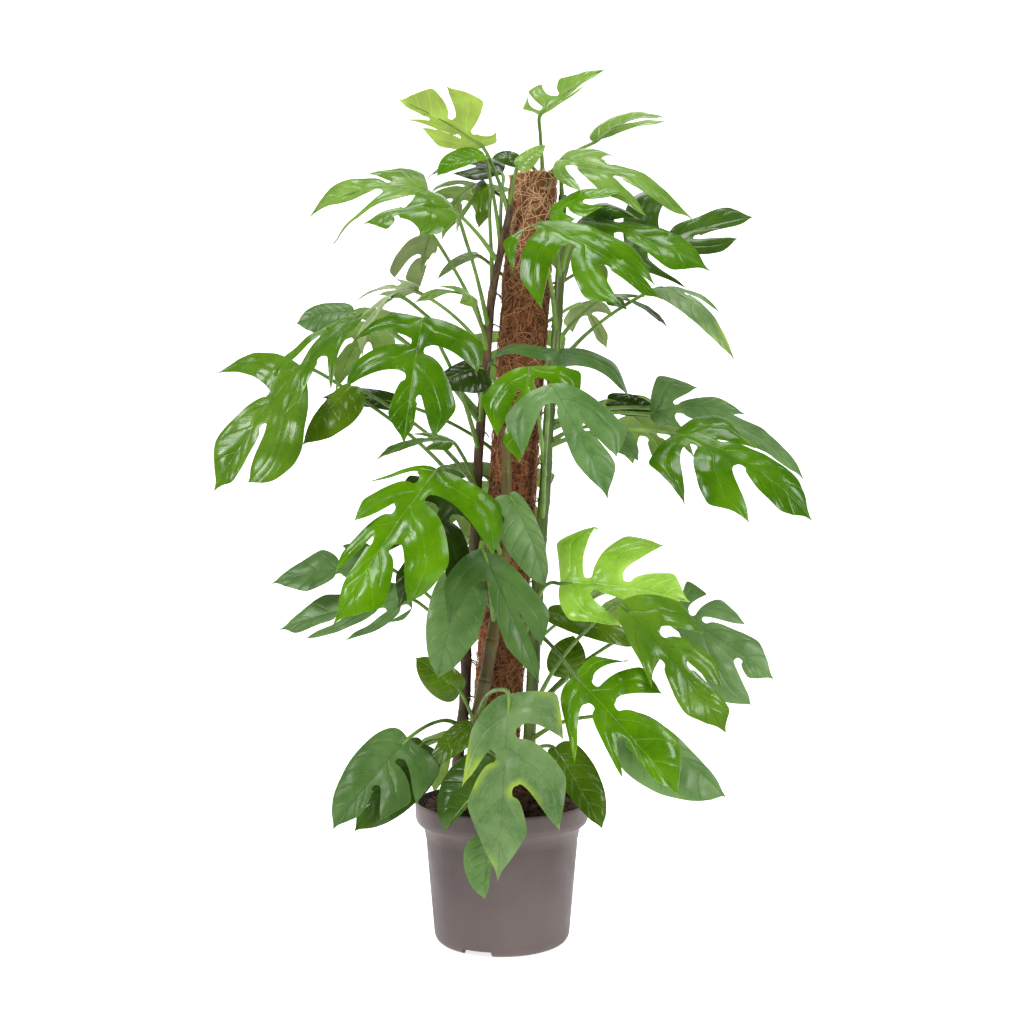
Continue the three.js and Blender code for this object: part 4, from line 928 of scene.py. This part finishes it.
def leaf_under(tone):
    """Paler and duller, with its ripples and veins lighter still."""
    under = LEAF_TONES[tone][3]
    f = Finish("leaf_" + tone + "_underside", 0.55, 0.2)
    f.coat(f.span(f.noise(30), 0.3, 0.7), paint(*under), under=paint(*under, 0.82))
    rows = ripples(f)
    f.coat(f.times(rows, 0.2), paint(*under, 1.12))
    f.coat(f.span(f.mark("vein"), 0.2, 1.1, 0.3, 0.0), paint(*under, 1.1))
    f.coat(f.span(f.math("ABSOLUTE", f.mark("rib")), 0.6, 1.8, 0.4, 0.0), paint(*under, 1.1))
    f.relief(rows, 0.1, 0.5)
    return f.done(f.span(f.noise(80, 2), 0.3, 0.7, 0.5, 0.64))


def stem_finish(name, dark, light, spots):
    """A smooth green skin with darker flecks and finer stripes along the stem."""
    f = Finish(name, 0.42, 0.45)
    grain = f.noise(260, 3, 0.6, stretch=(1, 1, 0.12))
    f.coat(f.span(f.noise(26, 4, 0.6, stretch=(1, 1, 0.35)), 0.3, 0.7), paint(*light), under=paint(*dark))
    f.coat(f.span(grain, 0.45, 0.7, 0.0, 0.3), paint(*light, 1.15))
    f.coat(f.span(f.noise(150, 4, 0.7), 0.6, 0.72, 0.0, spots), paint(96, 70, 44))
    f.relief(grain, 0.25, 0.6)
    return f.done(f.span(f.noise(90), 0.3, 0.7, 0.36, 0.56))


def bark_finish():
    """The woody stem: brown skin cracked along its length, with green showing through."""
    f = Finish("stem_bark", 0.7, 0.3)
    grain = f.noise(180, 5, 0.65, stretch=(1, 1, 0.18))
    f.coat(f.span(grain, 0.35, 0.68), paint(104, 80, 56), under=paint(50, 36, 26))
    f.coat(f.span(f.noise(18), 0.52, 0.7, 0.0, 0.6), paint(70, 86, 44))
    f.relief(grain, 0.6, 0.8)
    return f.done(f.span(grain, 0.3, 0.7, 0.6, 0.82))


def coir_finish():
    """Coconut fibre: every strand has its own brown, and all are straw-pale near the top."""
    f = Finish("coir_fibre", 0.8, 0.25)
    grain = f.noise(700, 2, stretch=(1, 1, 0.3))
    f.coat(f.mark("tint"), paint(206, 152, 104), under=paint(98, 54, 32))
    f.coat(f.span(grain, 0.35, 0.7, 0.0, 0.4), paint(64, 32, 18))
    f.coat(f.span(f.height(), 0.68, 0.82, 0.0, 0.8), paint(222, 186, 142))
    f.coat(f.span(f.noise(24), 0.5, 0.7, 0.0, 0.3), paint(196, 140, 98))
    f.relief(grain, 0.3, 0.5)
    return f.done(f.span(grain, 0.3, 0.7, 0.7, 0.9))


def coir_mat_finish():
    """The dense mat under the loose strands."""
    f = Finish("coir_mat", 0.9, 0.2)
    lengthwise = f.noise(240, 5, 0.7, stretch=(1, 1, 0.25))
    crosswise = f.noise(220, 4, 0.7, stretch=(0.4, 0.4, 1.4))
    tangle = f.times(f.math("ADD", lengthwise, crosswise), 0.5)
    f.coat(f.span(tangle, 0.38, 0.62), paint(150, 92, 58), under=paint(52, 26, 15))
    f.coat(f.span(f.cells(420), 0.0, 0.5, 0.45, 0.0), paint(38, 19, 11))
    f.coat(f.span(f.height(), 0.68, 0.83, 0.0, 0.22), paint(176, 128, 86))
    f.relief(tangle, 2.2, 0.9)
    return f.done(f.span(tangle, 0.3, 0.7, 0.82, 0.96))


def soil_finish():
    """Peat: dark crumbs, darker cracks and a few pale bits."""
    f = Finish("potting_soil", 0.95, 0.2)
    grain, crumb = f.noise(190, 6, 0.7), f.cells(330)
    f.coat(f.span(grain, 0.36, 0.66), paint(84, 58, 42), under=paint(34, 23, 18))
    f.coat(f.span(crumb, 0.0, 0.45, 0.5, 0.0), paint(24, 16, 13))
    f.coat(f.span(f.noise(560, 2), 0.66, 0.74, 0.0, 0.8), paint(146, 112, 82))
    f.relief(grain, 1.6, 0.9)
    f.relief(crumb, 0.8, 0.7)
    return f.done(f.span(grain, 0.3, 0.7, 0.86, 1.0))


def pot_finish():
    """Moulded plastic: satin, with a fine orange-peel surface and faint upright streaks and rubs."""
    f = Finish("pot_plastic", 0.5, 0.28)
    streaks = f.noise(150, 5, 0.7, stretch=(1, 1, 0.12))
    rubs = f.noise(120, 4, 0.7, stretch=(1, 1, 0.15))
    f.coat(f.span(f.noise(9), 0.3, 0.7), paint(100, 88, 87), under=paint(88, 76, 76))
    f.coat(f.span(streaks, 0.45, 0.75, 0.0, 0.12), paint(106, 96, 96))
    f.coat(f.span(rubs, 0.68, 0.78, 0.0, 0.3), paint(128, 119, 120))
    f.relief(f.noise(900, 2), 0.06, 0.5)
    f.relief(streaks, 0.04, 0.4)
    return f.done(f.span(f.noise(40, 4), 0.3, 0.7, 0.44, 0.58))


# ---- pot and soil ---------------------------------------------------------------------------------
def pot_profile():
    """The pot's half section, from the middle of its base, up the outside and down the inside."""
    foot, rounding = POT["foot_radius"], POT["foot_round"]
    stand, pad = POT["stand_ring"], POT["pad_radius"]
    rim, shoulder, wall, recess = (POT[key] for key in ("rim_radius", "shoulder_radius", "wall", "recess"))
    top, seam = POT["rim_top"], POT["shoulder_bottom"]
    band, low = top - POT["rim_band"], seam - POT["step_height"]
    floor = recess + POT["floor"]
    wall_foot, wall_head = foot + 0.6, shoulder - POT["step_depth"]
    curve = np.linspace(0, 1, 9)[1:]
    base = [(0, 0), (pad, 0), (pad + recess, recess), (stand - recess, recess), (stand - 1, 0),
            (foot - rounding, 0)]
    foot_curve = bezier(base[-1], (foot - 4, 0), (foot, 3.5), (wall_foot, rounding), curve)
    flank = [(wall_foot + (wall_head - wall_foot) * share, rounding + (low - rounding) * share)
             for share in (0.25, 0.5, 0.75, 0.97)]
    step = [(shoulder - 2.0, low + 0.5), (shoulder - 1.9, low + 1.0), (shoulder - 0.5, low + 1.5),
            (shoulder - 0.2, low + 5), (shoulder + 0.1, seam)]
    flare = bezier((shoulder, seam), (shoulder + 1, band - 6), (rim - 1.5, band - 6),
                   (rim - 1.1, band - 0.6), curve)
    lip = [(rim - 0.9, band), (rim - 0.6, band + 0.6), (rim - 0.2, band + 3), (rim, top - 3),
           (rim - 0.1, top - 1.4), (rim - 0.5, top - 0.5), (rim - 1.3, top), (rim - wall + 0.4, top),
           (rim - wall, top - 0.5)]
    inside_wall = [(rim - wall - 1, band), (shoulder - wall, seam), (foot - wall, floor + 4),
                   (foot - wall - 4, floor), (0, floor)]
    return [*base, *foot_curve, *flank, *step, *flare, *lip, *inside_wall]


def cut_notch(pot, turn):
    """One drainage notch through the foot ring, cut with a block."""
    deep = POT["foot_radius"] - POT["stand_ring"] + 16
    x, y = polar(POT["foot_radius"] - deep / 2 + 8, turn)
    deselect_all()
    bpy.ops.mesh.primitive_cube_add(size=1)
    cutter = bpy.context.object
    cutter.scale = (deep * MM, POT["notch_width"] * MM, (POT["notch_height"] + 1) * MM)
    cutter.rotation_euler = (0, 0, turn)
    cutter.location = Vector((x, y, POT["notch_height"] / 2 - 0.5)) * MM
    bpy.ops.object.transform_apply(location=True, rotation=True, scale=True)
    apply_modifier(pot, "BOOLEAN", object=cutter, operation="DIFFERENCE", solver="MANIFOLD")
    bpy.data.objects.remove(cutter)


def make_pot(finish):
    """The profile spun round the middle, with the drainage notches cut through the foot."""
    profile = pot_profile()
    edges = [(k, k + 1) for k in range(len(profile) - 1)]
    pot = mesh_piece("nursery_pot", [(r, 0, z) for r, z in profile], [], edges)
    pot.data.materials.append(finish)
    make_active(pot)
    bpy.ops.object.mode_set(mode="EDIT")
    bpy.ops.mesh.select_all(action="SELECT")
    bpy.ops.mesh.spin(steps=144, angle=2 * math.pi, center=(0, 0, 0), axis=(0, 0, 1))
    bpy.ops.mesh.select_all(action="SELECT")
    bpy.ops.mesh.remove_doubles(threshold=0.00001)
    bpy.ops.mesh.normals_make_consistent(inside=False)
    bpy.ops.object.mode_set(mode="OBJECT")
    for n in range(POT["notches"]):
        cut_notch(pot, 2 * math.pi * (n + 0.25) / POT["notches"] + POT["notch_turn"])
    smooth(pot, 32)
    seat(pot, "pot")


def soil_height(x, y):
    """The heaped soil surface in millimetres."""
    share = min(math.hypot(x, y) / SOIL_EDGE, 1)
    heap = SOIL["edge"] + (SOIL["crown"] - SOIL["edge"]) * (1 - share ** 1.6)
    return heap + 3 * math.sin(x * 0.11 + 1) * math.cos(y * 0.13) * (1 - share ** 6)


def make_soil(finish):
    """A round filling with a lumpy top and loose crumbs, sunk a little below the pot's edge."""
    rings, sides = 44, 150
    points = [(0, 0, soil_height(0, 0))]
    for ring in range(1, rings + 1):
        for x, y in around(SOIL_EDGE * ring / rings, sides):
            lumps = 3.2 * noise.noise(Vector((x, y, 0)) * 0.09) + 1.6 * noise.noise(Vector((x, y, 5)) * 0.3)
            points.append((x, y, soil_height(x, y) + lumps * (1 - (ring / rings) ** 8)))
    gap = POT["wall"] + 0.6
    foot = POT["foot_radius"] - gap
    skirt = [(SOIL_EDGE - 0.5, 134.0), (POT["shoulder_radius"] - gap, 119.0), (foot, 12.0), (foot - 4, 7.6)]
    for r, z in skirt:
        points += [(x, y, z) for x, y in around(r, sides)]
    faces = [(0, 1 + s, 1 + (s + 1) % sides) for s in range(sides)]
    for ring in range(rings + len(skirt) - 1):
        faces += band_faces(1 + ring * sides, sides, turned=True)
    faces.append(tuple(range(len(points) - sides, len(points)))[::-1])
    bed = mesh_piece("soil_bed", points, faces)
    crumbs = []
    for n in range(CRUMBS):
        x, y = polar(SOIL_EDGE * 0.97 * math.sqrt(chance(n, 1)), math.pi * wobble(n, 2))
        size = 1.1 + 1.3 * abs(wobble(n, 3))
        long = size * (1 + 1.8 * abs(wobble(n, 4)) ** 3)
        crumbs.append(crumb((x, y, soil_height(x, y) + 0.6), (long, size, size * 0.8), n))
    points, faces, _ = bundle(crumbs)
    soil = join(bed, mesh_piece("crumbs", points, faces), "soil_filling")
    soil.data.materials.append(finish)
    smooth(soil, 70)
    seat(soil, "soil")


def crumb_shape():
    """The dozen corners of a crumb before it is roughened, and its twenty faces."""
    golden = 0.5 * (1 + math.sqrt(5))
    corners, faces = [], []
    for a in (-1, 1):
        for b in (-golden, golden):
            corners += [(0, a, b), (a, b, 0), (b, 0, a)]
    for i, j, k in combinations(range(len(corners)), 3):
        a, b, c = (np.array(corners[n]) for n in (i, j, k))
        if max(norm(a - b), norm(b - c), norm(a - c)) < 2.1:
            outward = np.cross(b - a, c - a).dot(a) > 0
            faces.append((i, j, k) if outward else (i, k, j))
    return corners, faces


def crumb(middle, half, seed):
    """A rough little lump with a dozen corners."""
    turn = Matrix.Rotation(3 * wobble(seed, 5), 3, "Z") @ Matrix.Rotation(wobble(seed, 6), 3, "X")
    shaped = []
    for k, corner in enumerate(CRUMB_CORNERS):
        p = Vector(corner) * (0.52 + 0.1 * wobble(seed, 10 + k))
        p = turn @ Vector([c * h for c, h in zip(p, half)])
        shaped.append([m + c for m, c in zip(middle, p)])
    return np.array(shaped), CRUMB_FACES


CRUMB_CORNERS, CRUMB_FACES = crumb_shape()


# ---- stems and pole -------------------------------------------------------------------------------
def air_roots(line, i, radius, seed):
    """Two short roots that leave the stem towards the pole and bend down."""
    way = line[i + 2] - line[i - 2]
    way /= norm(way)
    inward = np.array([pole_x(line[i][2]), 0, line[i][2]]) - line[i]
    inward /= norm(inward)
    roots = []
    for r in range(2):
        turn = 0.9 * wobble(seed, r)
        out = inward * math.cos(turn) + np.cross(way, inward) * math.sin(turn)
        reach = 11 + 5 * abs(wobble(seed, r + 4))
        root = line[i] + out * radius * 0.5
        route = [root, root + out * reach * 0.5 - UP * 1.5, root + out * reach * 0.85 - UP * reach * 0.45]
        roots.append(round_bar(smooth_curve(route, 8), np.linspace(1.1, 0.5, 8), 6))
    return roots


def make_stem(name, finish, node_gap, node):
    """A climbing stem: swollen at its nodes, with a leaf scar round each and a few short air roots."""
    line = STEM_LINES[name]
    share = np.linspace(0, 1, STEM_POINTS)
    radius = VINE_RADIUS[name] * (1 - 0.35 * share ** 2)
    length = norm(np.diff(line, axis=0), axis=1).sum()
    along = share * length
    seed = VINE_RADIUS[name] * 10
    rings_at = [node_gap * (k + 0.5 + 0.22 * wobble(seed, k)) for k in range(int(length / node_gap))]
    swell = np.zeros(STEM_POINTS)
    for at in rings_at:
        swell += 0.11 * bell(along - at, 7) - 0.1 * bell(along - at - 2.4, 1.1)
    lumps = np.array([0.05 * noise.noise(Vector((0, 0, a * 0.05 + seed))) for a in along])
    bars = [round_bar(line, radius * (0.96 + swell + lumps), 20)]
    for k, at in enumerate(rings_at):
        i = int(np.clip(at / length * (STEM_POINTS - 1), 3, STEM_POINTS - 4))
        if line[i][2] >= SOIL["crown"] + 10:
            bars += air_roots(line, i, radius[i], seed + k)
    points, faces, _ = bundle(bars)
    stem = mesh_piece("stem_" + name, points, faces)
    stem.data.materials.append(finish)
    smooth(stem, 50)
    seat(stem, node)


def pole_mat():
    """The lumpy mat's points and faces, with a rough hollow top."""
    radius, bottom, top = POLE["radius"], POLE["bottom"], POLE["top"]
    rows, sides = 230, 64
    points, faces = [], []
    for row in range(rows + 1):
        z = bottom + (top - bottom) * row / rows
        for x, y in around(1, sides):
            lump = 1.3 * noise.noise(Vector((x * 1.3, y * 1.3, z * 0.045)))
            lump += 0.8 * noise.noise(Vector((x * 6, y * 6, z * 0.16)))
            r = radius - 1.9 + lump
            points.append((pole_x(z) + r * x, r * y, z))
    for share, drop in ((0.7, 1.0), (0.35, 3.0)):
        for x, y in around(1, sides):
            rough = 1.5 * noise.noise(Vector((x * 3, y * 3, share * 9)))
            points.append((pole_x(top) + radius * share * x, radius * share * y, top - drop + rough))
    for row in range(rows):
        faces += band_faces(row * sides, sides)
    faces.append(tuple(range(sides))[::-1])
    for row in (rows, rows + 1):
        faces += band_faces(row * sides, sides)
    return points, faces + [tuple(range(len(points) - sides, len(points)))]


def wound_strand(n):
    """One of the strands that lie wound and matted round the pole."""
    radius, top = POLE["radius"], POLE["top"]
    z = SOIL["crown"] - 8 + (top - SOIL["crown"] + 6) * chance(n, 1)
    turn, slope, bend = math.pi * wobble(n, 2), 1.35 * wobble(n, 3), 0.9 * wobble(n, 5)
    length = 16 + 26 * abs(wobble(n, 4))
    route = []
    for t in np.linspace(-0.5, 0.5, 7):
        heading = slope + bend * t * 2
        here = turn + t * length * math.sin(heading) / radius
        level = min(z + t * length * math.cos(heading), top + 1.0 + 2.0 * wobble(n, 8))
        lift = radius - 1.5 + 1.5 * (1 - (2 * t) ** 2) * abs(wobble(n, 6)) + 0.6 * wobble(n, 7)
        if abs(t) == 0.5 and n % 9 == 0:
            lift += 1.5 + 2 * abs(wobble(n, 9))
        x, y = polar(lift, here)
        route.append((pole_x(level) + x, y, level))
    return round_bar(route, np.full(7, 0.28 + 0.16 * abs(wobble(n, 10))), 4)


def top_strand(n):
    """One of the strands that stand up round the pole's top."""
    turn, rise, lean = math.pi * wobble(n, 21), 3 + 6 * abs(wobble(n, 23)), 5 * wobble(n, 24)
    x, y = polar(POLE["radius"] * (0.25 + 0.75 * math.sqrt(chance(n, 22))) - 1, turn)
    foot = np.array([pole_x(POLE["top"]) + x, y, POLE["top"] - 4])
    sway = np.array([*polar(2 + 5 * abs(wobble(n, 25)), turn + lean), 0])
    route = [foot, foot + UP * rise * 0.6 + sway * 0.4, foot + UP * rise + sway]
    return round_bar(smooth_curve(route, 5), np.full(5, 0.3), 4)


def make_pole(mat_finish, fibre_finish):
    """The coir pole: a lumpy mat, with strands wound and matted over it and standing up round its top."""
    strands = [wound_strand(n) for n in range(WOUND_STRANDS)] + [top_strand(n) for n in range(TOP_STRANDS)]
    tints = [chance(n, 11) for n in range(WOUND_STRANDS)]
    tints += [0.35 + 0.65 * abs(wobble(n, 26)) for n in range(TOP_STRANDS)]
    points, faces, which = bundle(strands)
    mat = mesh_piece("coir_core", *pole_mat())
    loose = mesh_piece("coir_strands", points, faces)
    for part in (mat, loose):
        part.data.materials.append(mat_finish)
        part.data.materials.append(fibre_finish)
    for polygon in loose.data.polygons:
        polygon.material_index = 1
    store(mat, "tint", np.zeros(len(mat.data.vertices)))
    store(loose, "tint", np.array(tints)[which])
    pole = join(mat, loose, "coir_pole_wrapped")
    smooth(pole, 60)
    seat(pole, "coir_pole")


# ---- the plant ------------------------------------------------------------------------------------
finishes = {tone: (leaf_upper(tone), leaf_under(tone)) for tone in LEAF_TONES}
finishes["stalk"] = stem_finish("leaf_stalk", (62, 92, 22), (106, 140, 50), 0.3)
green_stem = stem_finish("climbing_stem", (46, 66, 16), (90, 108, 46), 0.8)
low_stem = stem_finish("low_stem", (60, 50, 18), (106, 92, 42), 0.9)

make_pot(pot_finish())
make_soil(soil_finish())
make_pole(coir_mat_finish(), coir_finish())
make_stem("right", green_stem, 46, "vine_right")
make_stem("left", bark_finish(), 40, "vine_left")
make_stem("low", low_stem, 44, "vine_low")
make_stem("back", green_stem, 46, "vine_back_leafy")

for number, row in enumerate(LEAVES + BACK_LEAVES):
    leaf = leaf_of(row)
    node = "leaf_" + leaf["name"] if number < len(LEAVES) else "vine_back_leafy"
    piece = leaf_piece(leaf, finishes)
    store(piece, "shade", np.full(len(piece.data.vertices), chance(leaf["seed"], 3)))
    seat(piece, node)


# ---- floor, light and camera ----------------------------------------------------------------------
def make_floor():
    """A pale floor that curves up into the backdrop."""
    profile = [(-2.2, 0.0), (1.4, 0.0)]
    turns = np.linspace(0, math.pi / 2, 17)[1:]
    profile += [(1.4 + 1.1 * math.sin(turn), 1.1 - 1.1 * math.cos(turn)) for turn in turns]
    profile += [(2.5, 4.5)]
    points = [(x * 1000, y * 1000, z * 1000) for x in (-4.0, 4.0) for y, z in profile]
    n = len(profile)
    floor = mesh_piece("floor", points, [(k, k + n, k + n + 1, k + 1) for k in range(n - 1)])
    f = Finish("pale_paper", 0.9, 0.1)
    f.coat(f.span(f.noise(3), 0.3, 0.7), paint(254, 254, 254), under=paint(250, 250, 250))
    f.relief(f.noise(60), 0.2, 0.2)
    f.shader.inputs["Emission Color"].default_value = (1, 1, 1, 1)
    f.shader.inputs["Emission Strength"].default_value = 0.75
    floor.data.materials.append(f.done())
    smooth(floor, 60)


def soft_light(name, place_m, size_m, power):
    """A soft box that looks at the plant's middle."""
    light = bpy.data.lights.new(name, "AREA")
    light.shape = "RECTANGLE"
    light.size, light.size_y = size_m
    light.energy = power
    lamp = put(name, light)
    lamp.location = place_m
    lamp.rotation_euler = (Vector((0, 0, 0.5)) - Vector(place_m)).to_track_quat("-Z", "Y").to_euler()


make_floor()
soft_light("left_softbox", (-1.6, -1.5, 1.9), (0.6, 0.9), 48)
soft_light("right_softbox", (1.7, -1.4, 1.5), (0.6, 0.9), 34)
soft_light("top_softbox", (0.1, -0.2, 2.6), (0.9, 0.8), 26)

world = bpy.data.worlds.new("studio")
world.use_nodes = True
sky = world.node_tree.nodes["Background"]
sky.inputs["Color"].default_value = (1, 1, 1, 1)
sky.inputs["Strength"].default_value = 0.1
scene = bpy.context.scene
scene.world = world
scene.view_settings.view_transform = "Standard"

lens = bpy.data.cameras.new("camera")
lens.lens = 49.64
lens.sensor_width = 36
camera = put("camera", lens)
camera.location = (0.011, -1.55, 0.468)
camera.rotation_euler = (math.pi / 2, 0, 0)
scene.camera = camera
